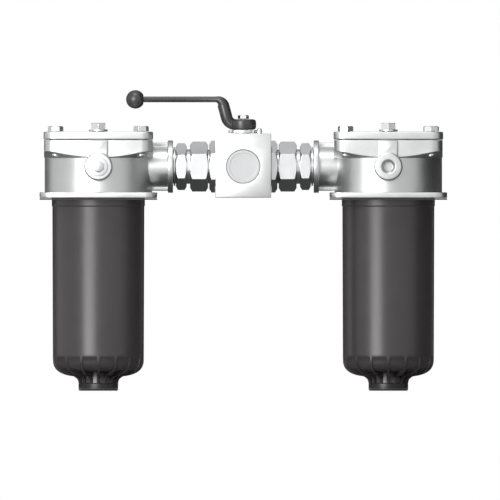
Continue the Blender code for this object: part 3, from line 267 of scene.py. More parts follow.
# %% Rubber, paper, PTFE and polyethylene
SOFT = {
    # slot: name, two colours, roughness, texture mm, bump mm, subsurface, IOR
    "nitrile_rubber": ("moulded_nitrile_rubber", "#1E1E1F", "#272728", 0.68, 0.5, 0.040, 0.0, 1.52),
    "filter_paper": ("pleated_filter_paper", "#D8C9A0", "#E6DAB8", 0.90, 0.7, 0.060, 0.0, 1.45),
    "ptfe": ("turned_ptfe", "#E4E4DF", "#EEEEEA", 0.42, 1.5, 0.020, 0.10, 1.38),
    "grey_polyethylene": ("moulded_polyethylene", "#B6B7B8", "#BEBFC0", 0.44, 1.4, 0.020, 0.05, 1.51),
}
for slot, (name, dark, light, rough, size, depth, under, ior) in SOFT.items():
    made, tree, shader, place = new_finish(name)
    grain = add_node(tree, "ShaderNodeTexNoise", {"Vector": place, "Scale": per_metre(size), "Detail": 3.0})
    tint = add_node(tree, "ShaderNodeTexNoise", {"Vector": place, "Scale": per_metre(15), "Detail": 2.0})
    skin = add_node(tree, "ShaderNodeBump", {"Strength": 0.3, "Distance": depth * MM,
                                             "Height": grain.outputs["Fac"]})
    tone = add_node(tree, "ShaderNodeMix", {FACTOR: tint.outputs["Fac"], FIRST: srgb(dark),
                                            SECOND: srgb(light)}, data_type="RGBA")
    gloss = add_node(tree, "ShaderNodeMapRange", {"Value": grain.outputs["Fac"], "From Min": 0.3,
                                                  "From Max": 0.7, "To Min": rough - 0.04,
                                                  "To Max": rough + 0.04})
    join(tree, shader, {"Base Color": tone.outputs[MIXED], "IOR": ior, "Roughness": gloss.outputs["Result"],
                        "Subsurface Weight": under, "Subsurface Scale": 0.003,
                        "Normal": skin.outputs["Normal"]})
    FINISHES[slot] = made
print(", ".join(SOFT))

# %% [markdown]
# ## Sheet steel and spring wire
# The element's core is tin-plated sheet with punched slots, and both springs are cold coiled from drawn
# wire. Both are steel with fine lines along the way they were drawn, the wire darker from its oil.

# %% Sheet steel and spring wire
DRAWN = {
    "perforated_core_steel": ("tin_plated_sheet_steel", "#AEB0B2", "#BCBEC0", 0.30),
    "spring_steel": ("oiled_spring_wire", "#6E6F72", "#828386", 0.32),
}
for slot, (name, dark, light, rough) in DRAWN.items():
    made, tree, shader, place = new_finish(name)
    stretch = add_node(tree, "ShaderNodeMapping", {"Vector": place, "Scale": (12.0, 12.0, 1.0)})
    lines = add_node(tree, "ShaderNodeTexNoise", {"Vector": stretch.outputs["Vector"],
                                                  "Scale": per_metre(12), "Detail": 3.0})
    marks = add_node(tree, "ShaderNodeBump", {"Strength": 0.2, "Distance": 0.04 * MM,
                                              "Height": lines.outputs["Fac"]})
    tone = add_node(tree, "ShaderNodeMix", {FACTOR: lines.outputs["Fac"], FIRST: srgb(dark),
                                            SECOND: srgb(light)}, data_type="RGBA")
    gloss = add_node(tree, "ShaderNodeMapRange", {"Value": lines.outputs["Fac"], "From Min": 0.3,
                                                  "From Max": 0.7, "To Min": rough - 0.05,
                                                  "To Max": rough + 0.08})
    join(tree, shader, {"Base Color": tone.outputs[MIXED], "Metallic": 1.0,
                        "Roughness": gloss.outputs["Result"], "Normal": marks.outputs["Normal"]})
    FINISHES[slot] = made
print(", ".join(DRAWN))

# %% [markdown]
# ## Tools for shapes
# Nearly every piece here is turned or square, so one function serves: it stacks rings of points up a
# profile and joins them. What differs is the ring: a circle, a hexagon, or a square with round corners.
# No real edge is sharp, so the profile's corners are first turned into small arcs.


# %% Shape tools
def soften(profile, size=0.5, steps=3, closed=False):
    """The profile with each corner turned into a small arc, apart from points on the axis."""
    points = [Vector(p) for p in profile]
    rounded = []
    for i, here in enumerate(points):
        after = points[(i + 1) % len(points)] - here
        before = points[i - 1] - here
        ends = not closed and i in (0, len(points) - 1)
        if ends or here.x < GAP or before.angle(after) > math.radians(160):
            rounded.append(here)
            continue
        reach = min(size, 0.4 * before.length, 0.4 * after.length)
        start, end = here + before.normalized() * reach, here + after.normalized() * reach
        for step in range(steps + 1):
            t = step / steps
            rounded.append(start.lerp(here, t).lerp(here.lerp(end, t), t))
    return [tuple(p) for p in rounded]


def circle(steps=96, turn=0.0):
    """Gives the points of a ring of any radius."""
    angles = [turn + math.tau * i / steps for i in range(steps)]
    return lambda radius: [(radius * math.cos(a), radius * math.sin(a)) for a in angles]


def square(half, corner, steps=8):
    """Gives the points of a square ring of any reach, whose corners get tighter as it shrinks."""
    def ring(reach):
        radius = max(corner - (half - reach), 0.1)
        spots = []
        for quarter, (x, y) in enumerate(((1, 1), (-1, 1), (-1, -1), (1, -1))):
            for step in range(steps + 1):
                angle = math.pi / 2 * (quarter + step / steps)
                spots.append((x * (reach - radius) + radius * math.cos(angle),
                              y * (reach - radius) + radius * math.sin(angle)))
        return spots
    return ring


def shape(bm, place=UP):
    """A loose object from bmesh data, moved to its place."""
    bmesh.ops.transform(bm, matrix=place, verts=bm.verts[:])
    bmesh.ops.recalc_face_normals(bm, faces=bm.faces[:])
    mesh = bpy.data.meshes.new("shape")
    bm.to_mesh(mesh)
    bm.free()
    made = bpy.data.objects.new("shape", mesh)
    bpy.context.scene.collection.objects.link(made)
    return made


def solid(profile, ring=circle(), closed=False, place=UP):
    """A closed shape whose rings follow a profile of (radius, height)."""
    bm = bmesh.new()
    rings = [[bm.verts.new((x * MM, y * MM, z * MM)) for x, y in (ring(r) if r > 0.001 else [(0, 0)])]
             for r, z in profile]
    count = max(len(r) for r in rings)
    pairs = list(zip(rings, rings[1:]))
    if closed:
        pairs.append((rings[-1], rings[0]))
    for upper, lower in pairs:
        for i in range(count):
            j = (i + 1) % count
            corners = (upper[i % len(upper)], lower[i % len(lower)],
                       lower[j % len(lower)], upper[j % len(upper)])
            corners = list(dict.fromkeys(corners))
            if len(corners) > 2:
                bm.faces.new(corners)
    return shape(bm, place)


def disc(radius, base, top, place=UP, steps=96, soft=0.0):
    """A plain cylinder, with its rims rounded if soft is given."""
    profile = [(0, top), (radius, top), (radius, base), (0, base)]
    return solid(soften(profile, soft) if soft else profile, circle(steps), place=place)


def box(low, high, soft=0.0, place=UP, steps=2):
    """A box between two corners, with its edges rounded."""
    bm = bmesh.new()
    size = [(b - a) * MM for a, b in zip(low, high)]
    centre = [(a + b) / 2 * MM for a, b in zip(low, high)]
    bmesh.ops.create_cube(bm, size=1, matrix=Matrix.Translation(centre) @ Matrix.Diagonal((*size, 1)))
    if soft:
        bmesh.ops.bevel(bm, geom=bm.edges[:], offset=soft * MM, segments=steps, profile=0.5, affect="EDGES")
    return shape(bm, place)


def combine(target, operation, *tools):
    """Joins, cuts or intersects closed shapes, and leaves one plain mesh."""
    for tool in tools:
        step = target.modifiers.new("combine", "BOOLEAN")
        step.object, step.operation, step.solver = tool, operation, "MANIFOLD"
    graph = bpy.context.evaluated_depsgraph_get()
    mesh = bpy.data.meshes.new_from_object(target.evaluated_get(graph))
    target.modifiers.clear()
    target.data = mesh
    for tool in tools:
        bpy.data.objects.remove(tool)
    return target


def at_corners(radius, place, base, top):
    """Four upright pins at the corners of a square, to cut holes with."""
    return [disc(radius, base, top, moved(x, y, 0), 48) for x in (-place, place) for y in (-place, place)]


SHARP = math.radians(32)


def show(made, name, node, slot, place=UP, body="housing"):
    """Hands a finished shape over to the frame in place of a CAD node."""
    made.data.materials.clear()
    made.data.materials.append(FINISHES[slot])
    made.data.shade_smooth()
    made.data.set_sharp_from_angle(angle=SHARP)
    made.name = name
    made.data.name = name
    made.matrix_world = place
    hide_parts(node)
    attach(made, body)


def show_both(made, name, node, slot):
    """The same for a piece that each filter has, from one mesh."""
    other = made.copy()
    bpy.context.scene.collection.objects.link(other)
    for piece, side in ((made, "left"), (other, "right")):
        show(piece, f"{name}_{side}", f"{node}_{side}", slot, SIDES[side])
    print(f"{name}: {len(made.data.polygons)} faces, twice")


print("shape tools ready")

# %% [markdown]
# ## Bowl
# The bowl is moulded: a thin cup with a lip that hangs in the head, and a spout below. Between its ribs
# the dome is set back, so light catches each rib's edge. Wall and spout are one turned shape with its
# inside, and sixteen ribs are cut as flat outlines, thickened and joined to it.

# %% Bowl
LIP_RADIUS = 49.0
BOWL_RADIUS = 46.6
DOME_RADIUS = 45.5
RIB_TOP = 32.8
RIB_THICKNESS = 2.4


def dome(radius, depth, power, count=14):
    """Points round the lower edge of the bowl, from its side in to its floor."""
    centre = 12.0
    angles = [math.pi / 2 * i / count for i in range(count)]
    return [(centre + (radius - centre) * math.cos(a) ** (2 / power),
             RIB_TOP - depth * math.sin(a) ** (2 / power)) for a in angles]


outside = [(LIP_RADIUS, 205.6), (LIP_RADIUS, 199.8), (46.8, 199.8), (46.8, 197.6), (BOWL_RADIUS, 197.6),
           (BOWL_RADIUS, 185.0), (46.0, 184.4), (45.52, 40.0), (DOME_RADIUS, 36.0), (DOME_RADIUS, 34.2),
           (45.3, 33.3), (44.8, 32.2), (44.4, 30.8), *dome(44.2, 14.0, 4.0)[1:], (17.6, 18.8), (17.6, 7.3),
           (19.8, 7.3), (19.8, 1.0), (18.8, 0.0)]
inside = [(13.5, 0.0), (13.5, 21.2), *reversed(dome(41.8, 11.6, 4.0)), (43.1, 34.1), (44.2, 197.6),
          (44.2, 205.6)]
bowl = solid(soften(outside + inside, 0.5, closed=True), circle(128), closed=True)

edge = [(DOME_RADIUS, 34.8), *[p for p in dome(DOME_RADIUS, 18.8, 2.8, 24) if p[0] > 24],
        (22.4, 12.9), (21.0, 11.6), (20.2, 9.6), (19.8, 7.3)]
root = [(16.4, 6.1), (16.4, 20.0), *reversed(dome(43.0, 12.8, 4.0, 10)), (43.4, 34.8)]
for i in range(16):
    bm = bmesh.new()
    face = bm.faces.new([bm.verts.new((r * MM, -RIB_THICKNESS / 2 * MM, z * MM)) for r, z in edge + root])
    grown = bmesh.ops.extrude_face_region(bm, geom=[face])["geom"]
    verts = [v for v in grown if isinstance(v, bmesh.types.BMVert)]
    bmesh.ops.translate(bm, verts=verts, vec=(0, RIB_THICKNESS * MM, 0))
    combine(bowl, "UNION", shape(bm, Matrix.Rotation(math.tau * i / 16, 4, "Z")))
show_both(bowl, "moulded_bowl", "bowl", "black_nylon")

# %% [markdown]
# ## Head casting
# The head is one die casting: a square flange for the tank, a round body, and a top that is square above
# and conical below. A neck with a collar carries the port, with the rib of the die's parting line on it.
# Front and back have a boss for an indicator, under a pad that runs up to the cover. The forms overlap
# and are joined first; the bores are cut last, as on the real one, which is machined after casting.

# %% Head casting
TOP_HALF = 54.3
FLANGE_HALF = 58.8
CONE_Z = 233.1
CONE_SLOPE = math.tan(math.radians(18.9))

plate = [(0, 198.5), (FLANGE_HALF, 198.5), (FLANGE_HALF, FLANGE_BASE), (0, FLANGE_BASE)]
flange = solid(soften(plate, 1.0), square(FLANGE_HALF, 12.0))
head = disc(BODY_RADIUS, 196.0, 242.0, steps=128)
slab = [(0, HEAD_TOP), (TOP_HALF, HEAD_TOP), (TOP_HALF, CONE_Z - 2), (0, CONE_Z - 2)]
top = solid(slab, square(TOP_HALF, 11.0))
cone = [(0, HEAD_TOP + 2), (110, HEAD_TOP + 2), (110, CONE_Z + (110 - BODY_RADIUS) * CONE_SLOPE),
        (51.7, CONE_Z - 2 * CONE_SLOPE), (0, CONE_Z - 2 * CONE_SLOPE)]
combine(top, "INTERSECT", solid(cone, circle(128)))
neck = disc(20.1, 40.0, 72.1, PORT)
collar = disc(26.2, 69.5, PORT_FACE, PORT, soft=0.8)
rib = box((40.0, -2.25, PORT_Z - 24.2), (73.0, 2.25, PORT_Z + 24.2), 1.0)
forms = [flange, top, neck, collar, rib]
for facing, sign in ((TO_FRONT, -1), (TO_BACK, 1)):
    boss = [(0, BOSS_FACE), (12.8, BOSS_FACE), (14.0, BOSS_FACE - 1.2), (14.0, 44.0), (0, 44.0)]
    forms.append(solid(soften(boss, 0.5), place=moved(0, 0, PORT_Z, facing)))
    reach = sorted((sign * 44.0, sign * (TOP_HALF + 2.0)))
    forms.append(box((-9.5, reach[0], PORT_Z), (9.5, reach[1], HEAD_TOP - 0.5), 1.0))
combine(head, "UNION", *forms)

bore = [(0, 253.0), (BORE_RADIUS, 253.0), (BORE_RADIUS, 197.3), (46.9, 197.3), (46.9, 190.0), (0, 190.0)]
port = [(0, PORT_FACE + 2), (17.4, PORT_FACE + 2), (17.4, PORT_FACE), (16.6, PORT_FACE - 0.8), (16.6, 56.7),
        (FLOW_RADIUS, 56.7), (FLOW_RADIUS, 44.0), (0, 44.0)]
blind = [(0, 62.5), (7.25, 62.5), (7.25, BOSS_FACE), (4.9, BOSS_FACE - 2.35), (4.9, 52.5), (0, 52.5)]
holes = [solid(bore, circle(128)), solid(port, place=PORT),
         disc(6.6, 44.0, 62.5, moved(0, 0, PORT_Z, TO_FRONT)),
         solid(blind, place=moved(0, 0, PORT_Z, TO_BACK))]
holes += at_corners(4.3, BOLT_PLACE, 232.0, 252.0) + at_corners(4.5, HOLE_PLACE, 190.0, 200.0)
combine(head, "DIFFERENCE", *holes)
show_both(head, "cast_head", "head", "cast_aluminium")

# %% [markdown]
# ## Gasket
# A flat rubber gasket seals the flange on the tank. It shows as a dark line under the casting. The real one
# is punched from sheet, and so is this one: a square plate with round corners, whose five holes are cut out.

# %% Gasket
sheet = [(0, 192.5), (FLANGE_HALF, 192.5), (FLANGE_HALF, 191.0), (0, 191.0)]
gasket = solid(soften(sheet, 0.2), square(FLANGE_HALF, 12.0))
combine(gasket, "DIFFERENCE", disc(46.9, 190.0, 194.0, steps=128), *at_corners(4.5, HOLE_PLACE, 190.0, 194.0))
show_both(gasket, "tank_gasket", "flange_gasket", "nitrile_rubber")

# %% [markdown]
# ## Cover
# The cover is a square casting with a round rim. Under it a spigot centres it in the head and carries the
# seal, and a boss gives the bleed plug its thread. Plate, spigot and boss are joined first, as they leave
# the die, and the holes are drilled last, so that one cut serves all three.

# %% Cover
slab = [(0, COVER_TOP), (54.8, COVER_TOP), (54.8, COVER_BASE), (0, COVER_BASE)]
cover = solid(soften(slab, 1.6, 5), square(54.8, 11.0))
spigot = [(43.0, 253.0), (49.0, 253.0), (49.0, 249.75), (46.95, 249.75), (46.95, 247.25), (49.0, 247.25),
          (49.0, 246.0), (43.0, 246.0)]
combine(cover, "UNION", solid(spigot, circle(128), closed=True), disc(11.7, 241.0, 253.0))
combine(cover, "DIFFERENCE", disc(6.6, 239.0, 261.0), *at_corners(4.3, BOLT_PLACE, 249.0, 261.0))
show_both(cover, "cast_cover", "cover", "cast_aluminium")

# %% [markdown]
# ## Hexagons
# A hexagon head is a six-sided bar whose end is turned to a cone. The cone cuts each corner away in a
# shallow arc, which is what makes a bolt head look machined. Intersecting the bar with a turned barrel
# gives those arcs; cutting straight chamfers would not.


# %% Hexagons
def hexagon(across, base, top, place=UP, turn=0.0, chamfers=(True, True)):
    """A hexagon between two heights, with its ends turned down as chamfers says, lower end first."""
    corner = across / math.sqrt(3)
    flat, outer = across / 2 - 0.4, corner + 0.4
    drop = (outer - flat) * math.tan(math.radians(30))
    bar = [(0, top + 2), (corner, top + 2), (corner, base - 2), (0, base - 2)]
    upper = [(flat, top), (outer, top - drop)] if chamfers[1] else [(outer, top)]
    lower = [(outer, base + drop), (flat, base)] if chamfers[0] else [(outer, base)]
    prism = solid(bar, circle(6, turn), place=place)
    barrel = solid([(0, top), *upper, *lower, (0, base)], place=place)
    return combine(prism, "INTERSECT", barrel)


# No two bolts stop at the same angle when they are tightened.
bolt_places = [(x, y) for x in (-BOLT_PLACE, BOLT_PLACE) for y in (-BOLT_PLACE, BOLT_PLACE)]
for number, ((x, y), degrees) in enumerate(zip(bolt_places, (0, 30, 10, 45)), 1):
    bolt = hexagon(13.5, 259.4, 264.7, moved(x, y, 0), math.radians(degrees), (False, True))
    shank = [(0, 262.0), (4.0, 262.0), (4.0, 235.4), (3.0, 234.4), (0, 234.4)]
    combine(bolt, "UNION", solid(shank, circle(48), place=moved(x, y, 0)))
    other = bolt.copy()
    bpy.context.scene.collection.objects.link(other)
    for piece, side in ((bolt, "left"), (other, "right")):
        show(piece, f"cover_screw_{side}_{number}", f"cover_bolt_{side}_{number}", "zinc_plated_steel",
             SIDES[side])
print("8 cover bolts")

# %% [markdown]
# ## Plugs
# Each cover has a bleed plug, and one boss of each head is closed by a smaller one. Both are a thread
# under a round collar under a hexagon. They are turned from hexagon bar, so the hexagon is joined to a
# turned body. One function makes both, since only the size of the hexagon differs.


# %% Plugs
def plug(hexagon_size, hexagon_height, place):
    """A plug that stands on its own axis, with its collar's lower face at height 0."""
    profile = [(0, 1.9), (9.4, 1.9), (9.4, 0), (6.3, 0), (6.3, -10.0), (0, -10.0)]
    body = solid(soften(profile, 0.35), place=place)
    grip = hexagon(hexagon_size, 0.95, 1.9 + hexagon_height, place, math.pi / 6, (False, True))
    return combine(body, "UNION", grip)


show_both(plug(14.0, 6.6, moved(0, 0, COVER_TOP + GAP)), "bleed_screw", "bleed_plug", "zinc_plated_steel")
show_both(plug(10.2, 4.0, moved(0, -BOSS_FACE - GAP, PORT_Z, TO_FRONT)), "boss_screw", "port_plug",
          "zinc_plated_steel")

# %% [markdown]
# ## Unions
# From a head to the valve come four pieces on one axis: the adaptor that screws into the head over a
# seal, the union nut, and the adaptor in the valve. The nut pulls both adaptors' ends together. Both adaptors
# are a turned profile joined to a hexagon and then bored, and the nut is a hexagon bored through, as they
# would
# be on a lathe. The seal is a bonded one: a plated steel ring whose inner edge is a lip of rubber, so it
# looks bright from outside.

# %% Unions
def tube(inner, outer, base, top, place=UP):
    """A plain ring between two heights."""
    profile = [(inner, top), (outer, top), (outer, base), (inner, base)]
    return solid(soften(profile, 0.25, closed=True), closed=True, place=place)


adaptor = solid(soften([(0, 98.7), (18.7, 98.7), (18.7, 95.5), (17.2, 95.5), (17.2, 86.4), (16.3, 86.4),
                        (16.3, 58.7), (0, 58.7)], 0.3), place=PORT)
combine(adaptor, "UNION", hexagon(40.6, 77.5, 88.4, PORT))
combine(adaptor, "DIFFERENCE", disc(FLOW_RADIUS, 56.0, 101.0, PORT))
show_both(adaptor, "head_union", "filter_adaptor", "zinc_plated_steel")

STEEL_FROM = 17.8
section = [(19.3, 76.9), (STEEL_FROM, 76.9), (17.4, 77.2), (16.9, 77.2), (16.6, 76.7), (16.6, 75.5),
           (16.9, 75.0), (17.4, 75.0), (STEEL_FROM, 75.3), (19.3, 75.3)]
seal = solid(section, closed=True, place=PORT)
show_both(seal, "union_seal", "adaptor_seal", "nitrile_rubber")
seal.data.materials.append(FINISHES["zinc_plated_steel"])
for face in seal.data.polygons:
    from_axis = math.hypot(face.center.y, face.center.z - PORT_Z * MM)
    face.material_index = int(from_axis > STEEL_FROM * MM)

nut = hexagon(43.3, 91.7, 109.7, PORT)
thread = [(0, 111.7), (19.6, 111.7), (19.6, 109.7), (19.0, 109.1), (19.0, 95.2), (17.5, 95.2),
          (17.5, 89.7), (0, 89.7)]
combine(nut, "DIFFERENCE", solid(thread, place=PORT))
show_both(nut, "hexagon_nut", "union_nut", "zinc_plated_steel")

fitting = solid(soften([(0, 126.5), (19.5, 126.5), (19.5, 114.9), (16.8, 114.9), (16.8, 108.5), (18.7, 108.5),
                        (18.7, 99.0), (0, 99.0)], 0.3), place=PORT)
combine(fitting, "UNION", hexagon(45.0, 110.9, 116.9, PORT, chamfers=(True, False)))
combine(fitting, "DIFFERENCE", disc(FLOW_RADIUS, 97.0, 129.0, PORT))
show_both(fitting, "block_union", "valve_adaptor", "zinc_plated_steel")

# %% [markdown]
# ## Valve block
# The block is milled from bar: a box with broken edges, a bore right through for the ball and its seats,
# the inlet port in front, and above it the stem's bore and the hole for the stop pin. It is cut here in
# the same order as in the workshop.

# %% Valve block
PIN_X, PIN_Y = 15.99, -9.23
block = box((-27.8, -40.0, 193.1), (27.8, 28.0, 257.3), 0.8)
inlet = [(0, 42.0), (17.3, 42.0), (17.3, 40.0), (16.8, 39.5), (16.8, 24.0), (12.5, 24.0), (12.5, 0), (0, 0)]
stem_bore = [(0, 259.3), (7.3, 259.3), (7.3, 247.0), (9.3, 247.0), (9.3, PORT_Z), (0, PORT_Z)]
combine(block, "DIFFERENCE", disc(19.8, -29.8, 29.8, moved(0, 0, PORT_Z, ALONG_X)),
        solid(inlet, place=moved(0, 0, PORT_Z, TO_FRONT)), solid(stem_bore),
        disc(2.8, 251.0, 259.3, moved(PIN_X, PIN_Y, 0), 32))
show(block, "milled_block", "valve_body", "machined_block")
print("block has", len(block.data.polygons), "faces")

# %% [markdown]
# ## Transit plug
# The inlet is closed by a moulded cup that keeps dirt out until the pipe goes on. Its face is slightly
# dished inside a raised rim, so that it stays flat as the plastic shrinks. One turned profile gives the
# face, the rim and the thin wall behind them.

# %% Transit plug
cup = [(0, 39.5), (13.4, 39.5), (14.0, 40.0), (16.5, 40.0), (16.5, 28.0), (14.5, 28.0), (14.5, 37.5),
       (0, 37.5)]
cap = solid(soften(cup, 0.4), place=moved(0, 0, PORT_Z, TO_FRONT))
show(cap, "transit_plug", "inlet_plug", "grey_polyethylene")
print("plug has", len(cap.data.polygons), "faces")

# %% [markdown]
# ## Stop plate and pin
# The plate turns with the stem. Its two lugs meet a dowel pin in the block at each end of the lever's
# quarter turn, so the valve can't stop half way. The real plate is stamped. Here a disc gets its lugs as
# bars turned to their own angles, so that each lug stops at the pin exactly, and then its square hole.

# %% Stop plate and pin
stop = disc(14.3, 257.6, 260.7, soft=0.3)
for angle in (-12.217, -137.783):
    lug = box((5.2, -2.01, 257.6), (18.4, 2.01, 260.7), 0.25, Matrix.Rotation(math.radians(angle), 4, "Z"))
    combine(stop, "UNION", lug)
combine(stop, "DIFFERENCE", box((-5.2, -5.2, 255.0), (5.2, 5.2, 263.0)))
show(stop, "lugged_stop_plate", "stop_plate", "zinc_plated_steel", body="spindle")
pin = [(0, 262.6), (1.0, 262.5), (1.75, 262.2), (2.5, 261.35), (2.5, 251.3), (0, 251.3)]
dowel = solid(soften(pin, 0.4), circle(40), place=moved(PIN_X, PIN_Y, 0))
show(dowel, "dowel_pin", "stop_pin", "zinc_plated_steel")
print("stop plate and pin made")

# %% [markdown]
# ## Lever
# The lever is forged: a round hub with a cranked bar that lifts the hand clear of the unions. A bar that
# changes thickness along a bend is a row of rings, each set square to the path at its own point.

# %% Lever
HUB_Z = 266.3
BAR_Z = 291.4


def bend(centre_x, centre_z, radius, start, end, count=12):
    """Points of a bend in the lever's upright plane."""
    angles = [math.radians(start + (end - start) * i / count) for i in range(count + 1)]
    return [(centre_x + radius * math.cos(a), centre_z + radius * math.sin(a)) for a in angles]


def bar(path, radii, steps=40):
    """A round bar along a path in the XZ plane, with a radius at each point."""
    bm = bmesh.new()
    rings = []
    for i, (x, z) in enumerate(path):
        before, after = path[max(i - 1, 0)], path[min(i + 1, len(path) - 1)]
        along = Vector((after[0] - before[0], after[1] - before[1])).normalized()
        ring = []
        for step in range(steps):
            angle = math.tau * step / steps
            side, out = radii[i] * math.sin(angle), radii[i] * math.cos(angle)
            ring.append(bm.verts.new(((x - along.y * out) * MM, side * MM, (z + along.x * out) * MM)))
        rings.append(ring)
    for one, two in zip(rings, rings[1:]):
        for i in range(steps):
            j = (i + 1) % steps
            bm.faces.new((one[i], one[j], two[j], two[i]))
    bm.faces.new(rings[0])
    bm.faces.new(reversed(rings[-1]))
    return shape(bm)


def taper(start, end, count):
    """Evenly spaced values from start to end."""
    return [start + (end - start) * i / (count - 1) for i in range(count)]


lower = bend(-7.9, 275.3, 9.0, -90, -165)
upper = bend(-27.21, 284.0, 7.4, 15, 90)
path = [(-6.4, HUB_Z), *lower, *upper, (-60.0, BAR_Z), (-110.7, BAR_Z)]
radii = [4.4, *taper(5.5, 5.9, len(lower)), *taper(5.9, 2.9, len(upper)), 2.9, 2.9]
lever = disc(12.8, 261.0, 271.6, soft=3.5)
combine(lever, "UNION", bar(path, radii))
combine(lever, "DIFFERENCE", box((-5.2, -5.2, 259.0), (5.2, 5.2, 269.1)), disc(3.3, 261.0, 273.6))
show(lever, "forged_lever", "lever", "black_enamel", body="spindle")
print("lever has", len(lever.data.polygons), "faces")

# %% [markdown]
# ## Knob and screw
# The knob is a polished phenolic ball with a small flat where the bar enters. A hexagon screw holds the
# lever down on the stem's square. The ball is most of a circle turned about the bar's axis, because a
# turned profile can end in the flat and in the hole for the bar.

# %% Knob and screw
angles = [math.radians(150.36) * i / 40 for i in range(41)]
ball = [(9.3 * math.sin(a), 9.3 * math.cos(a)) for a in angles]
ball += [(3.2, ball[-1][1]), (3.2, 3.0), (0, 3.0)]
knob = solid(ball, circle(64), place=moved(-108.0, 0, BAR_Z, TO_LEFT))
show(knob, "ball_knob", "knob", "black_phenolic", body="spindle")
screw = hexagon(9.6, 271.9, 275.7, chamfers=(False, True))
combine(screw, "UNION", disc(3.0, 259.9, 273.8, steps=40))
show(screw, "hub_screw", "lever_screw", "zinc_plated_steel", body="spindle")
print("knob has", len(knob.data.polygons), "faces")

# %% [markdown]
# ## Springs
# Each filter hides two springs: a small one shuts the bypass valve, and a wide one holds the element down.
# Both are coiled from round wire, with the end coils laid flat, so each is a row of rings along a helix
# that doesn't rise in its first and last half turns. Each small spring gets a mesh of its own.

# %% Springs
SPRING_TURNS = 4.5
BYPASS_SEAT, BYPASS_LENGTH, BYPASS_STROKE = 175.3, 17.1, 5.0


def coil(reach, wire, base, top, steps=234, sides=12):
    """A spring of round wire, whose first and last half turns lie flat."""
    bm = bmesh.new()
    rings = []
    for i in range(steps + 1):
        turns = SPRING_TURNS * i / steps
        rise = min(max((turns - 0.5) / (SPRING_TURNS - 1), 0), 1)
        height = base + wire + rise * (top - base - 2 * wire)
        outward = Vector((math.cos(math.tau * turns), math.sin(math.tau * turns), 0))
        ring = []
        for angle in (math.tau * j / sides for j in range(sides)):
            lift = Vector((0, 0, height + wire * math.sin(angle)))
            ring.append(bm.verts.new((outward * (reach + wire * math.cos(angle)) + lift) * MM))
        rings.append(ring)
    for one, two in zip(rings, rings[1:]):
        for i in range(sides):
            bm.faces.new((one[i], one[i - 1], two[i - 1], two[i]))
    bm.faces.new(rings[0])
    bm.faces.new(reversed(rings[-1]))
    return shape(bm)


small = coil(9.0, 0.9, BYPASS_SEAT, BYPASS_SEAT + BYPASS_LENGTH)
show_both(small, "valve_coil", "bypass_spring", "spring_steel")
for side, middle in SIDES.items():
    spring = bpy.data.objects[f"valve_coil_{side}"]
    seat = middle.translation + Vector((0, 0, BYPASS_SEAT * MM))
    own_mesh(spring)
show_both(coil(15.0, 1.4, 200.3, 250.7), "wide_coil", "hold_down_spring", "spring_steel")

# %% [markdown]
# ## Filter element
# The element is what the filter is for: paper folded to and fro round a slotted core, between two end
# caps. Oil goes in through the paper and down through the core. The upper cap has a rim for the wide
# spring, and the lower one sits in the bowl's spout. The folds are rounded, as stiff paper can't crease.

# %% Filter element
MEDIA_BASE, MEDIA_TOP = 34.2, 195.7


def pleats(count=48, depth=10.5, samples=10):
    """Gives the points of a folded ring whose folds reach out to any radius, from a softened zigzag."""
    def ring(peak):
        spots = []
        for i in range(count * samples):
            wave = math.asin(0.97 * math.cos(math.tau * i / samples)) / math.asin(0.97)
            angle, radius = math.tau * i / (count * samples), peak - depth * (1 - wave) / 2
            spots.append((radius * math.cos(angle), radius * math.sin(angle)))
        return spots
    return ring


def spokes(count, inner, outer, width, spans):
    """Boxes set round the axis like spokes, one at each span of heights, as one cutter."""
    bm = bmesh.new()
    for i in range(count):
        turn = Matrix.Rotation(math.tau * i / count, 4, "Z")
        for base, top in spans:
            size = Matrix.Diagonal(((outer - inner) * MM, width * MM, (top - base) * MM, 1))
            middle = moved((inner + outer) / 2, 0, (base + top) / 2)
            bmesh.ops.create_cube(bm, size=1, matrix=turn @ middle @ size)
    return shape(bm)


upper = [(12.0, 200.0), (16.7, 200.0), (16.7, 203.0), (18.2, 203.0), (18.2, 200.0), (39.0, 200.0),
         (39.0, 190.0), (38.0, 190.0), (38.0, 196.0), (12.0, 196.0)]
show_both(solid(soften(upper, 0.4, closed=True), closed=True), "upper_end_cap", "element_top_cap",
          "glass_filled_cap_nylon")
lower = [(10.0, 33.9), (38.0, 33.9), (38.0, 39.9), (39.0, 39.9), (39.0, 29.9), (18.0, 29.9), (18.0, 21.5),
         (13.2, 21.5), (13.2, 11.7), (10.0, 11.7)]
show_both(solid(soften(lower, 0.4, closed=True), closed=True), "lower_end_cap", "element_bottom_cap",
          "glass_filled_cap_nylon")
sheet = [(32.2, MEDIA_TOP), (36.8, MEDIA_TOP), (36.8, MEDIA_BASE), (32.2, MEDIA_BASE)]
show_both(solid(sheet, pleats(), closed=True), "pleated_paper", "element_media", "filter_paper")
core = tube(20.0, 21.4, MEDIA_BASE, MEDIA_TOP)
slots = [(46.2 + 28.3 * i, 70.5 + 28.3 * i) for i in range(5)]
combine(core, "DIFFERENCE", spokes(6, 18.6, 22.8, 8.0, slots))
show_both(core, "slotted_core", "element_core", "perforated_core_steel")

# %% [markdown]
# ## Bypass valve
# When the paper clogs, the pressure above it pushes a poppet down off its seat in the upper cap. The
# poppet's stem runs in the floor of a cage with four windows. Both are turned, and the windows are cut in
# the cage afterwards. Each poppet rides on its own body, so that it can open alone.

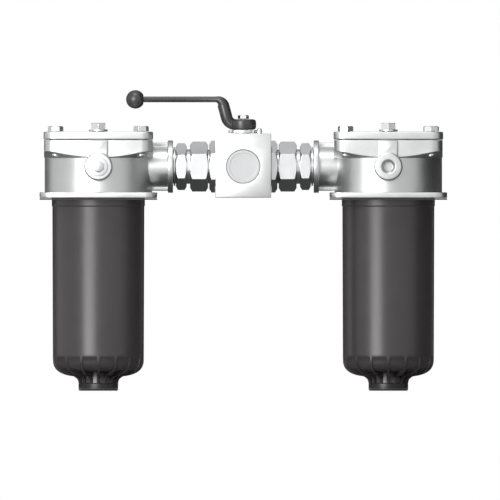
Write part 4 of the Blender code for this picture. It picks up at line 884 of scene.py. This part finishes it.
# %% Bypass valve
cage = solid(soften([(16.0, 195.7), (18.0, 195.7), (18.0, 172.5), (3.3, 172.5), (3.3, 175.0), (16.0, 175.0)],
                    0.3, closed=True), closed=True)
combine(cage, "DIFFERENCE", spokes(4, 12.5, 20.0, 12.0, [(177.0, 190.7)]))
show_both(cage, "windowed_cage", "bypass_cage", "glass_filled_cap_nylon")
poppet = soften([(0, 198.0), (10.0, 197.0), (10.0, 195.7), (14.5, 195.7), (14.5, 192.7), (3.0, 192.7),
                 (3.0, 171.9), (0, 171.9)], 0.4)
for side, place in SIDES.items():
    show(solid(poppet, circle(64)), f"valve_poppet_{side}", f"bypass_poppet_{side}", "glass_filled_cap_nylon",
         place, f"bypass_{side}")
print("cages and poppets made")

# %% [markdown]
# ## Ball, stem and seats
# The ball is ground and has an L bore, one leg towards the left filter and one towards the inlet. A tongue
# on the stem turns it, and a collar keeps the stem in. A ring of PTFE on each side, hollowed like the ball,
# seals against it.

# %% Ball, stem and seats
def half_circle(radius, steps=40):
    """Profile points down the outer side of a ball."""
    angles = [math.pi * i / steps for i in range(steps + 1)]
    return [(radius * math.sin(a), radius * math.cos(a)) for a in angles]


centre = moved(0, 0, PORT_Z)
ball = solid(half_circle(17.5), circle(64), place=centre)
combine(ball, "DIFFERENCE", disc(FLOW_RADIUS, 0, 19.5, centre @ TO_LEFT, 64),
        disc(FLOW_RADIUS, 0, 19.5, centre @ TO_FRONT, 64), box((-17.5, -2.8, 238.2), (17.5, 2.8, 243.7)))
show(ball, "bored_ball", "valve_ball", "machined_block", body="spindle")
shank = [(0, 257.6), (7.0, 257.6), (7.0, 253.25), (4.95, 253.25), (4.95, 250.75), (7.0, 250.75), (7.0, 246.7),
         (9.0, 246.7), (9.0, 242.0), (0, 242.0)]
stem = solid(soften(shank, 0.3), circle(64))
square_end, tongue = box((-4.9, -4.9, 255.6), (4.9, 4.9, 268.8)), box((-5.0, -2.5, 238.5), (5.0, 2.5, 244.0))
combine(stem, "UNION", square_end, tongue)
combine(stem, "DIFFERENCE", disc(3.3, 259.6, 270.8, steps=40))
show(stem, "tongued_stem", "valve_stem", "zinc_plated_steel", body="spindle")
seat = tube(FLOW_RADIUS, 19.5, 126.8, 133.0, PORT)
combine(seat, "DIFFERENCE", solid([(r, FILTER_X + z) for r, z in half_circle(17.8)], place=PORT))
show_both(seat, "hollowed_seat", "valve_seat", "ptfe")

# %% [markdown]
# ## O-rings
# Round rubber rings seal the bowl's lip in the head, the cover's spigot and the stem. Each is a circle
# turned about the axis, as the mould's two half grooves are, and its section fits its groove.

# %% O-rings
def oring(outer, height, section=0.95, sides=16):
    """A round-section ring, given by its outer radius."""
    angles = [math.tau * i / sides for i in range(sides)]
    return solid([(outer - section + section * math.sin(a), height + section * math.cos(a)) for a in angles],
                 closed=True)


show_both(oring(49.0, 198.55), "lip_ring", "bowl_oring", "nitrile_rubber")
show_both(oring(49.0, 248.5), "spigot_ring", "cover_oring", "nitrile_rubber")
show(oring(7.0, 252.0), "shank_ring", "stem_oring", "nitrile_rubber")
print("5 O-rings made")

# %% [markdown]
# ## Floor and background
# A pale floor takes the shadow. The world is white where the camera, a mirror or glass looks at it, and a
# softer grey as light, so that the white background doesn't flood the object.

# %% Floor and background
floor_finish, tree, shader, place = new_finish("pale_studio_floor")
haze = add_node(tree, "ShaderNodeTexNoise", {"Vector": place, "Scale": 3.0, "Detail": 2.0})
tone = add_node(tree, "ShaderNodeMix", {FACTOR: haze.outputs["Fac"], FIRST: srgb("#F2F2F2"),
                                        SECOND: srgb("#F6F6F6")}, data_type="RGBA")
join(tree, shader, {"Base Color": tone.outputs[MIXED], "Roughness": 0.8, "Specular IOR Level": 0.1})
bm = bmesh.new()
bmesh.ops.create_circle(bm, cap_ends=True, segments=64, radius=4.0)
floor = shape(bm, Matrix.Translation((0, 0, -0.5 * MM)))
floor.name = "studio_floor"
floor.data.materials.append(floor_finish)

world = bpy.data.worlds.new("white_studio")
bpy.context.scene.world = world
world.use_nodes = True
tree = world.node_tree
tree.nodes.clear()
path_kind = add_node(tree, "ShaderNodeLightPath", {})
seen = add_node(tree, "ShaderNodeMath", {0: path_kind.outputs["Is Camera Ray"],
                                         1: path_kind.outputs["Is Glossy Ray"]}, operation="MAXIMUM")
seen = add_node(tree, "ShaderNodeMath", {0: seen.outputs["Value"],
                                         1: path_kind.outputs["Is Transmission Ray"]}, operation="MAXIMUM")
lit = add_node(tree, "ShaderNodeBackground", {"Color": srgb("#FFFFFF"), "Strength": 0.48})
white = add_node(tree, "ShaderNodeBackground", {"Color": srgb("#FFFFFF"), "Strength": 1.0})
both = add_node(tree, "ShaderNodeMixShader", {0: seen.outputs["Value"], 1: lit.outputs["Background"],
                                              2: white.outputs["Background"]})
add_node(tree, "ShaderNodeOutputWorld", {"Surface": both.outputs["Shader"]})
print("floor and world made")

# %% [markdown]
# ## Lamps and cards
# A tall softbox stands in front, a little to the left, and draws one soft bright band down each bowl. A
# honeycomb keeps its light on the object and off the floor. Bright metal shows little but what it mirrors,
# so grey cards give it its darker sides, as they do in a photo studio: one on the right, one behind, one
# lying below, and a pale one above. Only mirrored light meets the cards, so they cast no shadow.


# %% Lamps and cards
def facing(place, aim=(0, 0, 0.19)):
    """A place whose -Z axis points at another place."""
    turn = (Vector(aim) - Vector(place)).to_track_quat("-Z", "Y").to_matrix().to_4x4()
    return Matrix.Translation(place) @ turn


def softbox(name, place, width, height, watts, spread=180):
    """A rectangular lamp that faces the object, with the angle of its honeycomb."""
    lamp = bpy.data.lights.new(name, "AREA")
    lamp.shape = "RECTANGLE"
    lamp.size, lamp.size_y = width, height
    lamp.energy = watts
    lamp.spread = math.radians(spread)
    holder = bpy.data.objects.new(name, lamp)
    holder.matrix_world = facing(place)
    bpy.context.scene.collection.objects.link(holder)


def card(name, place, width, height, dark, light, aim=(0, 0, 0.19)):
    """A matt board that metal mirrors and the camera doesn't see."""
    finish, tree, shader, spot = new_finish(name + "_paint")
    weave = add_node(tree, "ShaderNodeTexNoise", {"Vector": spot, "Scale": 40.0, "Detail": 2.0})
    tone = add_node(tree, "ShaderNodeMix", {FACTOR: weave.outputs["Fac"], FIRST: srgb(dark),
                                            SECOND: srgb(light)}, data_type="RGBA")
    join(tree, shader, {"Base Color": tone.outputs[MIXED], "Roughness": 0.9})
    board = box((-width / 2, -height / 2, 0), (width / 2, height / 2, 5), place=facing(place, aim))
    board.name = name
    board.data.materials.append(finish)
    board.visible_camera = board.visible_diffuse = board.visible_shadow = False


softbox("key_lamp", (-0.80, -1.56, 0.50), 0.82, 1.0, 6.7, spread=90)
softbox("top_lamp", (-0.20, -0.60, 1.75), 0.6, 0.6, 8.5)
softbox("back_lamp", (-0.5, 1.7, 0.8), 0.9, 0.9, 6)
card("right_card", (1.15, 0.35, 0.85), 2300, 1900, "#343434", "#3C3C3C")
card("back_card", (-0.25, 1.30, 0.60), 3000, 1500, "#303030", "#383838")
card("low_card", (0.8, 0.5, 0.003), 3000, 1700, "#484848", "#505050", aim=(0.8, 0.5, -1))
card("top_card", (0.0, 0.9, 1.5), 2600, 700, "#D8D8D8", "#E0E0E0")
